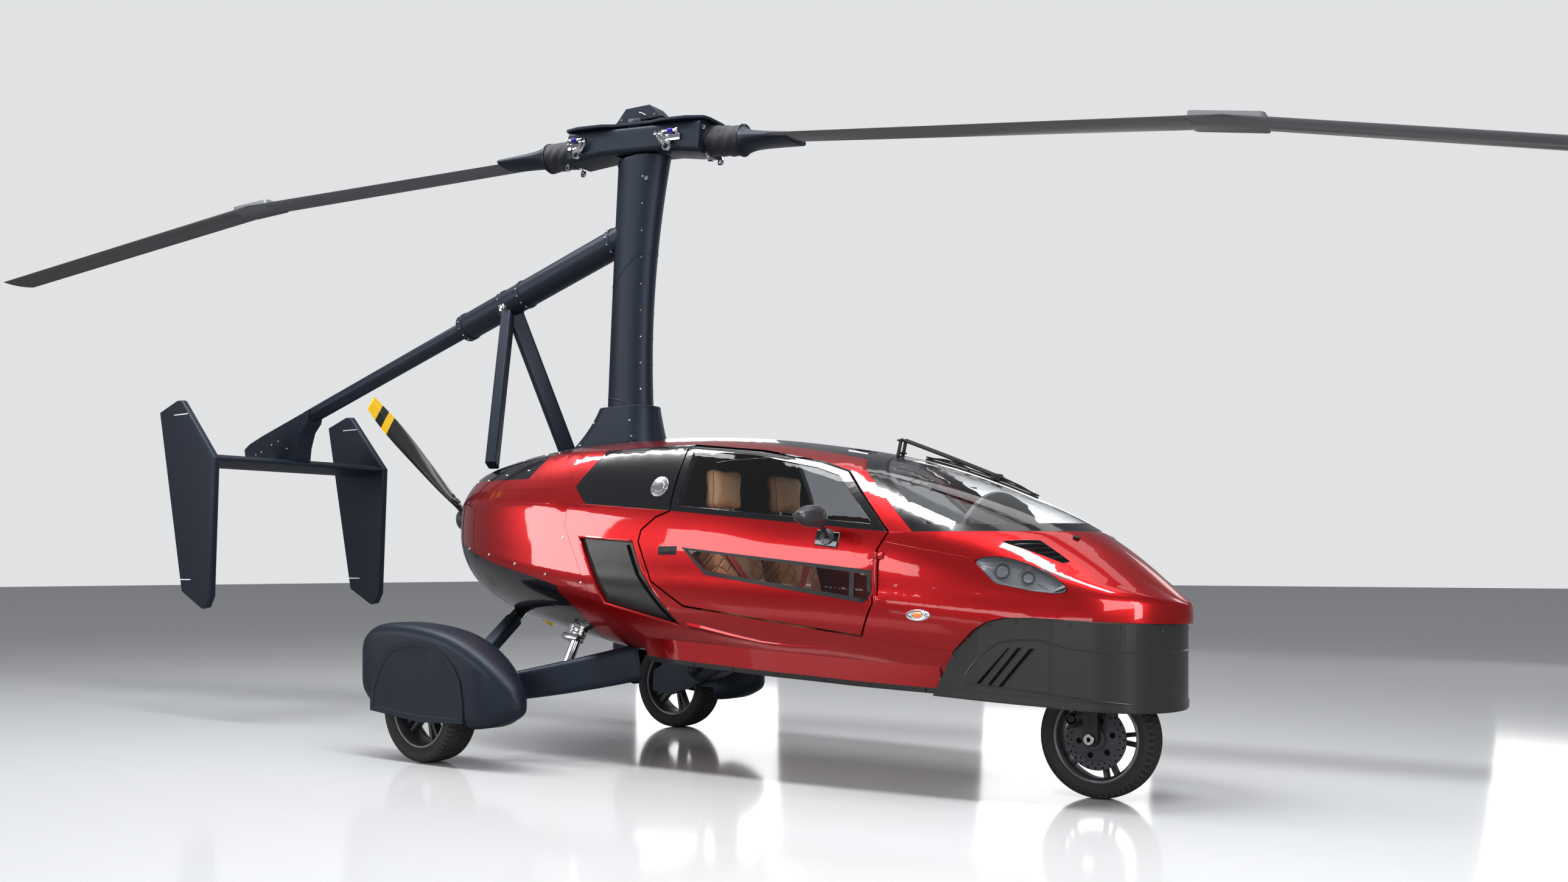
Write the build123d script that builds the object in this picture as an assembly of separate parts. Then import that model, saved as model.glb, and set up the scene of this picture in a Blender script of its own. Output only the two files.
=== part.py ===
from build123d import *
import math
import os

# A two-seat roadable gyrocopter on three wheels, parked with its rotor and tail set for flight.
# Millimetres. X points forward, Y to the left, Z up. The origin is on the ground under the rotor hub.

# Driving dimensions

SEAM = 0.8              # gap between two fixed skin panels
SHUT = 8.0              # gap around a door
FIT = 0.4               # seat clearance of a piece on the piece that carries it
RUN = 0.05              # radial clearance of a shaft in its bore
SKIN = 40.0             # wall of the tub, doors and cowls
FLOOR_WALL = 60.0       # floor of the tub
ROOF_WALL = 30.0        # wall of the roof shell
GLASS = 8.0             # window panes
SPAN = 1000.0           # half the overall width

WHEELBASE_FRONT = 2420.0    # front axle ahead of the hub
REAR_AXLE_X = -545.0
REAR_TRACK_HALF = 897.5
FRONT_TYRE_R = 242.0
FRONT_TYRE_W = 118.0
FRONT_RIM_R = 180.0
REAR_TYRE_R = 255.0
REAR_TYRE_W = 165.0
REAR_RIM_R = 185.0
TYRE_CLEAR = 10.0

ROTOR_R = 5375.0
ROTOR_Z = 3030.0
ROTOR_AZIMUTH = 6.0         # the parked rotor's heading off the centreline
ROTOR_TEETER = 4.1          # front blade down on its teeter stop
BLADE_FOLD_R = 2880.0       # where each blade is jointed
BLADE_ROOT_R = 780.0
BLADE_CHORD = 215.0
BLADE_THICK = 26.0
DROOP_INNER = 0.054         # fall of the resting blade for each unit of radius
DROOP_OUTER = 0.152
CUFF_R = 74.0
TEETER_Z = 3105.0
TEETER_PIN_R = 12.0

MAST_TOP_Z = 2945.0
MAST_BASE_Z = 1500.0
MAST_BASE_X = -90.0

BOOM_FRONT_X = -160.0
BOOM_FRONT_Z = 2568.0
BOOM_SLOPE = 0.2803         # fall of the boom towards the tail
BOOM_STEP_X = -1330.0       # aft end of the outer tube
BOOM_OUTER_R = 72.0
BOOM_OUTER_WALL = 22.0
BOOM_INNER_R = 45.0
BOOM_TRAVEL = 850.0         # how far the tail slides in
BOOM_LAP = 230.0            # inner tube left inside the outer one in flight

FIN_Y = 598.5
FIN_THICK = 44.0
TAILPLANE_Z = 1550.0

PROP_X = -1300.0
PROP_Z = 1180.0
PROP_R = 880.0
PROP_ANGLE = 41.5           # parked blades' slope from level

DOOR_SWING_X = 1702.0       # door hinge line
DOOR_SWING_Z = 850.0


def mirrored(part):
    """The same piece on the left side."""
    return mirror(part, about=Plane.XZ)


def prism(points, both=True, shrink=SEAM / 2):
    """Side-view outline (x, z) drawn in by shrink and run across the car, or its right half only."""
    face = make_face(Plane.XZ * Polyline(*points, close=True))
    face = offset(face, amount=-shrink, kind=Kind.INTERSECTION)
    return extrude(face, amount=SPAN, dir=(0, -1, 0), both=both)


def side_plate(points, low_y, high_y):
    """Side-view outline (x, z) as a plate between two distances from the centreline."""
    face = make_face(Plane.XZ * Polyline(*points, close=True))
    return Pos(0, high_y, 0) * extrude(face, amount=high_y - low_y, dir=(0, -1, 0))


def plan_prism(points, low, high):
    """Plan outline (x, y) run up from low to high."""
    return Pos(0, 0, low) * extrude(make_face(Polyline(*points, close=True)), high - low)


def tube_between(a, b, radius):
    """Round bar from point a to point b."""
    a, b = Vector(*a), Vector(*b)
    plane = Plane(origin=a, z_dir=b - a)
    return extrude(plane * Circle(radius), (b - a).length)


def bar_between(a, b, width, depth):
    """Square bar from point a to point b, its width across the car."""
    a, b = Vector(*a), Vector(*b)
    along = b - a
    across = along.cross(Vector(0, 0, 1))
    plane = Plane(origin=a, x_dir=across, z_dir=along)
    return extrude(plane * RectangleRounded(width, depth, min(width, depth) * 0.22), along.length)


# Hull sections. Columns: station x; bottom height and half width of the flat floor; half width and
# height at the widest line; half width and height at the belt; the same at the roof edge; crown height.
HULL_SECTIONS = [
    (-1170, 1010, 50, 175, 1120, 165, 1225, 100, 1300, 1330),
    (-1000, 865, 130, 320, 1090, 305, 1240, 220, 1350, 1392),
    (-750, 735, 215, 475, 1045, 460, 1240, 325, 1402, 1456),
    (-400, 650, 290, 553, 985, 535, 1225, 385, 1445, 1512),
    (50, 565, 330, 576, 925, 545, 1190, 408, 1460, 1540),
    (600, 507, 350, 586, 890, 550, 1158, 405, 1450, 1524),
    (1150, 464, 345, 577, 865, 540, 1108, 388, 1390, 1462),
    (1600, 438, 325, 545, 842, 508, 1068, 345, 1300, 1378),
    (2000, 412, 300, 487, 812, 442, 1010, 278, 1178, 1250),
    (2330, 396, 262, 405, 788, 352, 925, 205, 1050, 1104),
    (2560, 382, 200, 312, 776, 262, 855, 140, 925, 958),
    (2700, 376, 110, 190, 770, 155, 808, 80, 828, 842),
    (2785, 372, 12, 26, 766, 22, 772, 12, 776, 780),
]
CAVITY_SECTIONS = range(1, 12)


def hull_section(row, side, bottom, top):
    """Closed hull cross-section drawn in by side, bottom and top walls."""
    x, zb, wb, w, zw, wbelt, zbelt, yr, zr, zt = row
    zb, zt = zb + bottom, zt - top
    wb, w, wbelt, yr = wb - side * 0.5, w - side, wbelt - side, yr - side * 0.8
    zr = zr - top * 0.8
    flank = (wb + (w - wb) * 0.76, zb + (zw - zb) * 0.36)
    shoulder = (w - (w - wbelt) * 0.24, (zw + zbelt) / 2)
    pane = ((wbelt + yr) / 2 + (wbelt - yr) * 0.05, (zbelt + zr) / 2 + (zr - zbelt) * 0.05)
    right = Line((-wb, zb), (wb, zb))
    right += ThreePointArc((wb, zb), flank, (w, zw))
    right += ThreePointArc((w, zw), shoulder, (wbelt, zbelt))
    right += ThreePointArc((wbelt, zbelt), pane, (yr, zr))
    right += ThreePointArc((yr, zr), (0, zt), (-yr, zr))
    right += ThreePointArc((-yr, zr), (-pane[0], pane[1]), (-wbelt, zbelt))
    right += ThreePointArc((-wbelt, zbelt), (-shoulder[0], shoulder[1]), (-w, zw))
    right += ThreePointArc((-w, zw), (-flank[0], flank[1]), (-wb, zb))
    plane = Plane(origin=(x, 0, 0), x_dir=(0, 1, 0), z_dir=(1, 0, 0))
    return plane * make_face(right)


def hull_loft(rows, side=0.0, bottom=0.0, top=0.0):
    return loft([hull_section(HULL_SECTIONS[i], side, bottom, top) for i in rows])


OUTER = hull_loft(range(len(HULL_SECTIONS)))
CABIN = hull_loft(CAVITY_SECTIONS, SKIN, FLOOR_WALL, ROOF_WALL)
GLASSLINE = hull_loft(CAVITY_SECTIONS, GLASS, GLASS, GLASS)
SHELL = OUTER - CABIN
PANE = OUTER - GLASSLINE

# Side-view lines that the skin panels share, as (x, z)
TAIL_X = -1180.0
BELT_AFT = (113, 1208)
BELT_DOOR = (632, 1165)
BELT_FRONT = (1742, 1056)
WINDOW_TOP = [(622, 1470), (1025, 1425), (1339, 1362), (1475, 1318)]
DOOR_FRONT = [BELT_FRONT, (1704, 985), (1704, 790), (1630, 634)]
DOOR_REAR = [(1224, 684), (740, 742), (560, 850), (474, 1030), (485, 1083), (560, 1140), BELT_DOOR]
PANEL_AFT = [(20, 1292), (135, 1462)]
COWL_FRONT = [(-93, 1290), (5, 1205), (0, 1119), (162, 822), (-45, 829)]
COWL_LOW = [(-201, 868), (-553, 944), (-835, 1028), (-1000, 1062), (TAIL_X, 1090)]
BELLY_FRONT = [(-40, 800), (69, 709), (120, 590), (120, 300)]
PILLAR = [(1834, 1056), (1480, 1372), (1200, 1470), (1080, 1640)]
SKIRT_EDGE = [(2010, 588), (2100, 675), (2150, 706), (2220, 723), (2330, 724), (2533, 712), (2900, 694)]
SKIRT_REAR = (1920, 412)
NOSE_X = 2900.0

door_tile = WINDOW_TOP + DOOR_FRONT + DOOR_REAR
aft_panel_tile = [BELT_AFT] + PANEL_AFT + [WINDOW_TOP[0], BELT_DOOR]
roof_tile = ([(TAIL_X, 1290), COWL_FRONT[0], COWL_FRONT[1], BELT_AFT] + PANEL_AFT + WINDOW_TOP
             + [BELT_FRONT] + PILLAR + [(TAIL_X, 1640)])
nose_tile = ([BELT_FRONT, PILLAR[0], (NOSE_X, 1056)] + SKIRT_EDGE[::-1] + DOOR_FRONT[:0:-1])
screen_tile = PILLAR + [(NOSE_X, 1640), (NOSE_X, 1056)]
cowl_tile = COWL_FRONT + COWL_LOW + [(TAIL_X, 1290)]
belly_tile = [COWL_FRONT[4]] + COWL_LOW + [(TAIL_X, 300)] + BELLY_FRONT[::-1]
tub_tile = ([COWL_FRONT[3], COWL_FRONT[2], COWL_FRONT[1], BELT_AFT] + DOOR_REAR[::-1]
            + [DOOR_FRONT[-1], SKIRT_EDGE[0], SKIRT_REAR, (1915, 300)] + BELLY_FRONT[::-1]
            + [COWL_FRONT[4]])

DOOR_WINDOW = [(664, 1442), (1020, 1398), (1325, 1336), (1438, 1298), (1662, 1088), (676, 1186)]
LOWER_WINDOW = [(752, 994), (1672, 893), (1676, 782), (874, 894)]
INTAKE = [(108, 1052), (440, 1030), (500, 900), (640, 735), (700, 660), (263, 753), (144, 976)]
DECK_PLAN = [(-1120, -150), (-900, -250), (-420, -330), (-300, -300), (-260, -180),
             (-260, 180), (-300, 300), (-420, 330), (-900, 250), (-1120, 150)]
DECK_Z = 1292.0
WHEEL_WELL = (1960, 2760)


HEADLAMP = [(2098, 934), (2190, 950), (2330, 905), (2440, 832), (2326, 826), (2185, 855)]
MIRROR_AT = (1470, 1036)        # where the mirror stalk leaves the door, as (x, z)
MIRROR_HEAD = (1500, -680, 1117)
HINGE_PIN_R = 5.0
HINGE_BARREL_R = 9.0
HINGE_SPAN = (775.0, 975.0)     # ends of the pin
HINGE_LUG = 26.0                # length of the lug at each end of it
HINGE_CLEAR = 5.5

SEAT_Y = 228.0
SEAT_HALF = 190.0
FIREWALL_X = (150.0, 165.0)
FRONT_WALL_X = (1980.0, 1995.0)
ENGINE_X = (-790.0, -130.0)
ENGINE_HALF = 235.0
ENGINE_Z = (800.0, 1270.0)
GEARBOX_R = 75.0
GEARBOX_END_X = -1235.0


def skin_y(x, z):
    """Half width of the hull at a station and height."""
    probe = OUTER & (Pos(x, SPAN / 2, z) * Box(2, SPAN, 2))
    return probe.bounding_box().max.Y


def slab(x_pair):
    """Wall across the car between two stations."""
    return Pos(sum(x_pair) / 2, 0, 1000) * Box(x_pair[1] - x_pair[0], 2 * SPAN, 2000)


INSIDE = hull_loft(CAVITY_SECTIONS, SKIN + FIT, FLOOR_WALL + FIT, ROOF_WALL + FIT)


def nodes_of_hull():
    """Fixed skin of the cabin, nose and engine bay."""
    out = {}
    deck_tool = plan_prism(DECK_PLAN, DECK_Z, 1640)
    well = Pos(sum(WHEEL_WELL) / 2, 0, 300) * Box(WHEEL_WELL[1] - WHEEL_WELL[0], 560, 600)
    intake_tool = prism(INTAKE, shrink=0)
    out["tub"] = (SHELL & prism(tub_tile)) - intake_tool - well
    out["roof_shell"] = (SHELL & prism(roof_tile)) - deck_tool
    lamp_tool = prism(HEADLAMP, shrink=0)
    out["nose_shell"] = (SHELL & prism(nose_tile)) - well - lamp_tool
    lamp = PANE & prism(HEADLAMP, both=False, shrink=FIT)
    out["headlamps"] = Compound(children=[lamp, mirrored(lamp)])
    out["windscreen"] = PANE & prism(screen_tile)
    out["belly_cowl"] = SHELL & prism(belly_tile)
    bearing = Pos(-1000, 0, PROP_Z) * Rot(0, 90, 0) * Cylinder(GEARBOX_R + FIT, 600)
    middle = Pos(-1100, 0, PROP_Z) * Box(400, 3, 400)
    cowl = (SHELL & prism(cowl_tile, both=False)) - bearing - middle
    out["rear_cowls"] = Compound(children=[cowl, mirrored(cowl)])
    aft_panel = PANE & prism(aft_panel_tile, both=False)
    out["aft_side_panels"] = Compound(children=[aft_panel, mirrored(aft_panel)])
    deck_shrunk = plan_prism(
        [(x + (6 if x < -800 else -3), y * 0.99) for x, y in DECK_PLAN], DECK_Z, 1640)
    out["engine_deck"] = (OUTER - hull_loft(CAVITY_SECTIONS, 14, 14, 14)) & deck_shrunk
    intake = (hull_loft(CAVITY_SECTIONS, 18, 18, 18) - CABIN) & prism(INTAKE, both=False, shrink=FIT)
    out["side_intakes"] = Compound(children=[intake, mirrored(intake)])
    return out


def door_nodes():
    """The right door with its panes and mirror, the nose lugs and pin that carry it."""
    y = -skin_y(DOOR_SWING_X, DOOR_SWING_Z)
    low, high = HINGE_SPAN
    door = SHELL & prism(door_tile, both=False, shrink=SHUT)
    door = door - prism(DOOR_WINDOW, shrink=0) - prism(LOWER_WINDOW, shrink=0)
    axis = Pos(DOOR_SWING_X, y, 0)
    lug_heights = (low + HINGE_LUG / 2, high - HINGE_LUG / 2)
    for z in lug_heights:
        door -= axis * Pos(0, 0, z) * Cylinder(HINGE_BARREL_R + HINGE_CLEAR, HINGE_LUG + HINGE_CLEAR)
    barrel_length = high - low - 2 * HINGE_LUG - 2
    barrel_mid = axis * Pos(0, 0, (low + high) / 2)
    door += barrel_mid * Cylinder(HINGE_BARREL_R, barrel_length)
    door += barrel_mid * Pos(-14, HINGE_BARREL_R, 0) * Box(24, 14, barrel_length)
    door -= barrel_mid * Cylinder(HINGE_PIN_R + RUN, barrel_length + 2)
    nose_cut = barrel_mid * Cylinder(HINGE_BARREL_R + HINGE_CLEAR, barrel_length + 2)
    hinge = barrel_mid * Cylinder(HINGE_PIN_R, high - low)
    for z in lug_heights:
        hinge += axis * Pos(0, 0, z) * Cylinder(HINGE_BARREL_R, HINGE_LUG)
        hinge += axis * Pos(16, 12, z) * Box(30, 16, HINGE_LUG)
    panes = [PANE & prism(DOOR_WINDOW, both=False, shrink=FIT),
             PANE & prism(LOWER_WINDOW, both=False, shrink=FIT)]
    foot = Vector(MIRROR_AT[0], -skin_y(*MIRROR_AT), MIRROR_AT[1])
    head = Vector(*MIRROR_HEAD)
    looking_glass = tube_between(foot + Vector(0, 14, -4), foot + Vector(0, -8, 4), 34)
    looking_glass += tube_between(foot + Vector(0, -4, 2), head + Vector(20, 20, -20), 11)
    # distance outboard, shift aft, length and height of each section of the mirror's shell
    rows = [(-92, 0, 44, 44), (-60, 0, 82, 76), (40, 4, 86, 78), (104, 22, 26, 26)]
    sections = []
    for out, aft, length, height in rows:
        at = Plane(origin=(-aft, -out, 0), x_dir=(1, 0, 0), z_dir=(0, -1, 0))
        sections.append(at * RectangleRounded(length, height, min(length, height) * 0.4))
    looking_glass += Pos(*head) * Rot(0, 0, 12) * loft(sections)
    return door, panes, looking_glass - door, hinge, nose_cut


def cabin_nodes():
    """Bulkheads, seats, dash, controls and engine."""
    out = {}
    out["bulkheads"] = Compound(children=[INSIDE & slab(FIREWALL_X), INSIDE & slab(FRONT_WALL_X)])
    seat_line = [(640, 640), (1180, 640), (1230, 700), (1190, 742), (850, 720), (742, 1120),
                 (660, 1130), (650, 900)]
    cushion = make_face(Plane.XZ * Polyline(*seat_line, close=True))
    seat = Pos(0, SEAT_Y, 0) * extrude(cushion, amount=SEAT_HALF, both=True)
    rest = Pos(690, SEAT_Y, 1268) * Box(82, 230, 190)
    for y in (-55, 55):
        rest += Pos(700, SEAT_Y + y, 1150) * Cylinder(7, 90)
    rest -= seat
    out["seats"] = Compound(children=[seat, mirrored(seat)])
    out["headrests"] = Compound(children=[rest, mirrored(rest)])
    out["seat_plinth"] = INSIDE & (Pos(915, 0, 320 + FIT) * Box(540, 800, 640 - 2 * FIT))
    dash_line = [(1570, 1010), (1600, 1050), (1790, 1050), (1979, 1030), (1979, 800), (1720, 780), (1640, 900)]
    dash_half = 410
    dash_box = Pos(1770, 0, 900) * Box(600, 2 * dash_half, 600)
    out["dashboard"] = INSIDE & prism(dash_line, shrink=0) & dash_box
    column_a, column_b = (1660, SEAT_Y, 955), (1410, SEAT_Y, 1040)
    wheel_plane = Plane(origin=column_b, z_dir=Vector(*column_b) - Vector(*column_a))
    wheel = wheel_plane * Torus(140, 14)
    wheel += wheel_plane * Box(270, 34, 14)
    wheel += wheel_plane * Cylinder(34, 26)
    wheel += tube_between(column_a, column_b, 20)
    out["steering_wheel"] = wheel - out["dashboard"]
    engine_size = (ENGINE_X[1] - ENGINE_X[0], 2 * ENGINE_HALF, ENGINE_Z[1] - ENGINE_Z[0])
    engine_at = Pos(sum(ENGINE_X) / 2, 0, sum(ENGINE_Z) / 2)
    engine = INSIDE & (engine_at * Box(*engine_size))
    mount_low = INSIDE & (engine_at * Box(60, 2 * SPAN, 40))
    out["engine"] = engine + mount_low
    gearbox = Pos((ENGINE_X[0] + GEARBOX_END_X) / 2, 0, PROP_Z) * Rot(0, 90, 0) * Cylinder(
        GEARBOX_R, ENGINE_X[0] - GEARBOX_END_X - 2 * FIT)
    shaft = Pos(GEARBOX_END_X - 50, 0, PROP_Z) * Rot(0, 90, 0) * Cylinder(PROP_SHAFT_R, 130)
    out["prop_gearbox"] = gearbox + shaft
    return out


SKIRT_WALL = 10.0
SKIRT_PLAN = [(1880, 464), (2110, 440), (2270, 408), (2370, 382)]
SKIRT_FRONT_R = 382.0
STEERER_R = 22.0
FORK_CROWN_Z = (508.0, 548.0)
FORK_LEG_Y = 88.0
FORK_LEG = (62.0, 28.0)
AXLE_R = 13.0
AXLE_BORE_R = 8.0
HEAD_PLATE_Z = (740.0, 768.0)


def skirt_outline(inset):
    """Plan of the nose skirt, straight flanks and a round front."""
    radius = SKIRT_FRONT_R - inset
    x = SKIRT_PLAN[-1][0]
    points = [(px, py - inset) for px, py in SKIRT_PLAN[:-1]] + [(x, radius)]
    mirror_points = [(px, -py) for px, py in points][::-1]
    diagonal = radius / math.sqrt(2)
    edge = Polyline(*points)
    edge += ThreePointArc((x, radius), (x + diagonal, diagonal), (x + radius, 0))
    edge += ThreePointArc((x + radius, 0), (x + diagonal, -diagonal), (x, -radius))
    edge += Polyline(*mirror_points)
    edge += Line(mirror_points[-1], points[0])
    return make_face(edge)


def front_nodes():
    """Nose skirt, steering head, fork, axle and front wheel."""
    out = {}
    skirt_tile = [SKIRT_REAR] + SKIRT_EDGE + [(NOSE_X, 360), (2700, 366)]
    ring = Pos(0, 0, 300) * extrude(skirt_outline(0) - skirt_outline(SKIRT_WALL), 500)
    out["nose_skirt"] = ring & prism(skirt_tile)
    x, z = WHEELBASE_FRONT, FRONT_TYRE_R
    plate_size = HEAD_PLATE_Z[1] - HEAD_PLATE_Z[0]
    plate = INSIDE & (Pos(x, 0, sum(HEAD_PLATE_Z) / 2) * Box(110, 2 * SPAN, plate_size))
    head_low = FORK_CROWN_Z[1] + TYRE_CLEAR
    head = Pos(x, 0, (head_low + HEAD_PLATE_Z[1]) / 2) * Cylinder(44, HEAD_PLATE_Z[1] - head_low)
    steerer_cut = Pos(x, 0, 700) * Cylinder(STEERER_R + RUN, 600)
    out["steering_head"] = plate + head - steerer_cut
    fork = Pos(x, 0, sum(FORK_CROWN_Z) / 2) * Box(96, 2 * FORK_LEG_Y + FORK_LEG[1],
                                                   FORK_CROWN_Z[1] - FORK_CROWN_Z[0])
    fork += Pos(x, 0, (FORK_CROWN_Z[0] + HEAD_PLATE_Z[1]) / 2) * Cylinder(
        STEERER_R, HEAD_PLATE_Z[1] - FORK_CROWN_Z[0])
    leg_top = FORK_CROWN_Z[0]
    for y in (-FORK_LEG_Y, FORK_LEG_Y):
        fork += Pos(x, y, (leg_top + z) / 2) * Box(FORK_LEG[0], FORK_LEG[1], leg_top - z + 1)
        fork += Pos(x, y, z) * Rot(90, 0, 0) * Cylinder(FORK_LEG[0] / 2, FORK_LEG[1])
    axle_cut = Pos(x, 0, z) * Rot(90, 0, 0) * Cylinder(AXLE_R, 400)
    out["front_fork"] = fork - axle_cut
    axle_half = FORK_LEG_Y + FORK_LEG[1] / 2 + 16
    axle = Rot(90, 0, 0) * Cylinder(AXLE_R, 2 * axle_half)
    for y in (-axle_half + 6, axle_half - 6):
        axle += Pos(0, y, 0) * Rot(90, 0, 0) * Cylinder(AXLE_R + 9, 12)
    axle -= Rot(90, 0, 0) * Cylinder(AXLE_BORE_R, 2 * axle_half + 2)
    out["front_axle"] = Pos(x, 0, z) * axle
    tyre, rim = wheel_solids(FRONT_TYRE_R, FRONT_TYRE_W, FRONT_RIM_R, AXLE_R, 5, FORK_LEG_Y - 16)
    rim += Pos(0, -FRONT_TYRE_W / 2 + 14, 0) * Rot(90, 0, 0) * (Cylinder(128, 6) - Cylinder(AXLE_R + RUN, 8))
    out["front_tyre"] = Pos(x, 0, z) * tyre
    out["front_rim"] = Pos(x, 0, z) * rim
    return out


def wheel_solids(radius, width, rim_radius, axle_r, spokes, hub_half):
    """Tyre and spoked rim about the Y axis, centred on the origin."""
    half = width / 2
    profile = [(rim_radius, -half * 0.80), (rim_radius + 22, -half * 0.97), (radius - 34, -half),
               (radius - 10, -half * 0.84), (radius, -half * 0.52), (radius, half * 0.52),
               (radius - 10, half * 0.84), (radius - 34, half), (rim_radius + 22, half * 0.97),
               (rim_radius, half * 0.80)]
    tyre = revolve(make_face(Plane.XY * Polyline(*profile, close=True)), Axis.Y)
    barrel = [(rim_radius, -half * 0.80), (rim_radius, half * 0.80), (rim_radius - 9, half * 0.80),
              (rim_radius - 20, half * 0.2), (rim_radius - 20, -half * 0.5), (rim_radius - 9, -half * 0.80)]
    rim = revolve(make_face(Plane.XY * Polyline(*barrel, close=True)), Axis.Y)
    rim += Rot(90, 0, 0) * Cylinder(46, 2 * hub_half)
    for i in range(spokes):
        for lean in (-8, 8):
            turn = Rot(0, 360 / spokes * i + lean, 0)
            rim += turn * Pos(rim_radius / 2 + 8, half * 0.05, 0) * Box(rim_radius - 34, half * 0.5, 17)
    rim -= Rot(90, 0, 0) * Cylinder(axle_r + RUN, 600)
    return tyre, rim


POD_Y = (-1000.0, -775.4)
POD_WALL = 9.0
POD_ROUND = 34.0
POD_LINE = [(-872, 236), (-900, 330), (-905, 470), (-872, 600), (-800, 650), (-700, 664), (-450, 645), (-200, 566),
           (-40, 468), (40, 372), (66, 300), (50, 262), (-36, 214), (-160, 176), (-290, 172), (-500, 186)]
# Wheel arch cut in the pod's outer face, and the open stretch of its underside
POD_ARCH = [(-835, 150), (-828, 300), (-790, 420), (-715, 503), (-610, 556), (-495, 574), (-400, 556), (-325, 518),
            (-262, 462), (-221, 398), (-200, 300), (-196, 150)]
POD_MOUTH_X = (-835.0, -196.0)
POD_MOUTH_Z = 250.0
POD_WEB_X = -240.0
CARRIER_Y = (-775.0, -742.0)
REAR_AXLE_R = 17.5
ARM_PATH = [(260, -330, 470), (0, -560, 400), (-270, -748, 345)]
ARM_SIZE = [(170, 120), (150, 96), (122, 60)]


def rear_nodes():
    """Right trailing arm, wheel, pod, brace and damper."""
    out = {}
    z = REAR_TYRE_R
    sections = []
    for (point, size) in zip(ARM_PATH, ARM_SIZE):
        along = Vector(*ARM_PATH[-1]) - Vector(*ARM_PATH[0])
        plane = Plane(origin=point, x_dir=(0, 0, 1), z_dir=along)
        sections.append(plane * RectangleRounded(size[0], size[1], min(size) * 0.3))
    arm = loft(sections) - OUTER
    carrier = [(-228, 284), (-228, 400), (-420, 424), (-600, 330), (-610, 215), (-480, 196)]
    arm += side_plate(carrier, *CARRIER_Y)
    stub = -REAR_TRACK_HALF - 30
    arm += Pos(REAR_AXLE_X, (CARRIER_Y[0] + stub) / 2, z) * Rot(90, 0, 0) * Cylinder(
        REAR_AXLE_R, CARRIER_Y[0] - stub + 2)
    out["rear_arm"] = arm
    tyre, rim = wheel_solids(REAR_TYRE_R, REAR_TYRE_W, REAR_RIM_R, REAR_AXLE_R, 5, 60)
    hub = Pos(REAR_AXLE_X, -REAR_TRACK_HALF, z)
    out["rear_tyre"] = hub * tyre
    out["rear_rim"] = hub * rim
    outer_y, inner_y = POD_Y
    pod = side_plate(POD_LINE, outer_y, inner_y)
    pod = fillet(pod.edges().group_by(Axis.Y)[0], POD_ROUND)
    inner_face = offset(make_face(Plane.XZ * Polyline(*POD_LINE, close=True)), amount=-POD_WALL,
                        kind=Kind.INTERSECTION)
    hollow = extrude(inner_face, amount=inner_y - outer_y, dir=(0, -1, 0))
    hollow = fillet(hollow.edges().group_by(Axis.Y)[0], POD_ROUND - POD_WALL)
    pod -= Pos(0, inner_y + POD_WALL, 0) * hollow
    pod -= side_plate(POD_ARCH, outer_y - 1, outer_y + 3 * POD_WALL)
    mouth_low, mouth_high = POD_MOUTH_X
    pod -= Pos((mouth_low + mouth_high) / 2, 0, 0) * Box(mouth_high - mouth_low, 3 * SPAN, 2 * POD_MOUTH_Z)
    nose_web = Pos(POD_WEB_X + SPAN / 2, inner_y - POD_WALL / 2, SPAN / 2) * Box(SPAN, POD_WALL, SPAN)
    pod += side_plate(POD_LINE, outer_y + POD_ROUND, inner_y) & nose_web
    out["pod"] = pod
    brace = bar_between((-470, -758, 400), (-640, -230, 690), 64, 50)
    out["brace"] = brace - OUTER - arm
    damper = tube_between((-40, -520, 420), (0, -380, 760), 24)
    damper += tube_between((-20, -450, 590), (0, -380, 760), 31)
    out["damper"] = damper - OUTER - arm
    return out


def mast_nodes():
    """Mast with its foot fairing and the fixed bearing pin of the rotor."""
    out = {}
    # height, centre x, half chord, half thickness
    rows = [(1440, -92, 150, 96), (2550, -52, 130, 86), (MAST_TOP_Z, 0, 152, 100)]
    mast = loft([Pos(x, 0, z) * Ellipse(a, b) for z, x, a, b in rows]) - OUTER
    mast += Pos(0, 0, MAST_TOP_Z + 30) * Cylinder(SPINDLE_R, 62)
    out["mast"] = mast
    foot = loft([Pos(-190, 0, 1470) * RectangleRounded(600, 300, 120),
                 Pos(-130, 0, 1600) * RectangleRounded(420, 240, 100),
                 Pos(-100, 0, 1715) * RectangleRounded(330, 206, 96)])
    out["mast_foot"] = foot - OUTER - mast
    return out


SPINDLE_R = 30.0
PROP_SHAFT_R = 20.0
TOWER_R = 58.0
HUB_HALF = 420.0
HUB_SLOT = (125.0, 67.0)
HUB_RAIL = 28.0
HUB_DEPTH = 56.0


def blade_z(r):
    """Height of the resting blade at a radius, before the rotor leans on its teeter stop."""
    if r <= BLADE_FOLD_R:
        return ROTOR_Z - DROOP_INNER * r
    return ROTOR_Z - DROOP_INNER * BLADE_FOLD_R - DROOP_OUTER * (r - BLADE_FOLD_R)


def blade_section(r, chord, thick):
    """Lens-shaped blade section across the radius."""
    plane = Plane(origin=(r, 0, blade_z(r)), x_dir=(0, 1, 0), z_dir=(1, 0, 0))
    nose, heel = chord * 0.3, -chord * 0.7
    outline = ThreePointArc((nose, 0), (0, thick * 0.58), (heel, 0))
    outline += ThreePointArc((heel, 0), (0, -thick * 0.42), (nose, 0))
    return plane * make_face(outline)


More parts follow.
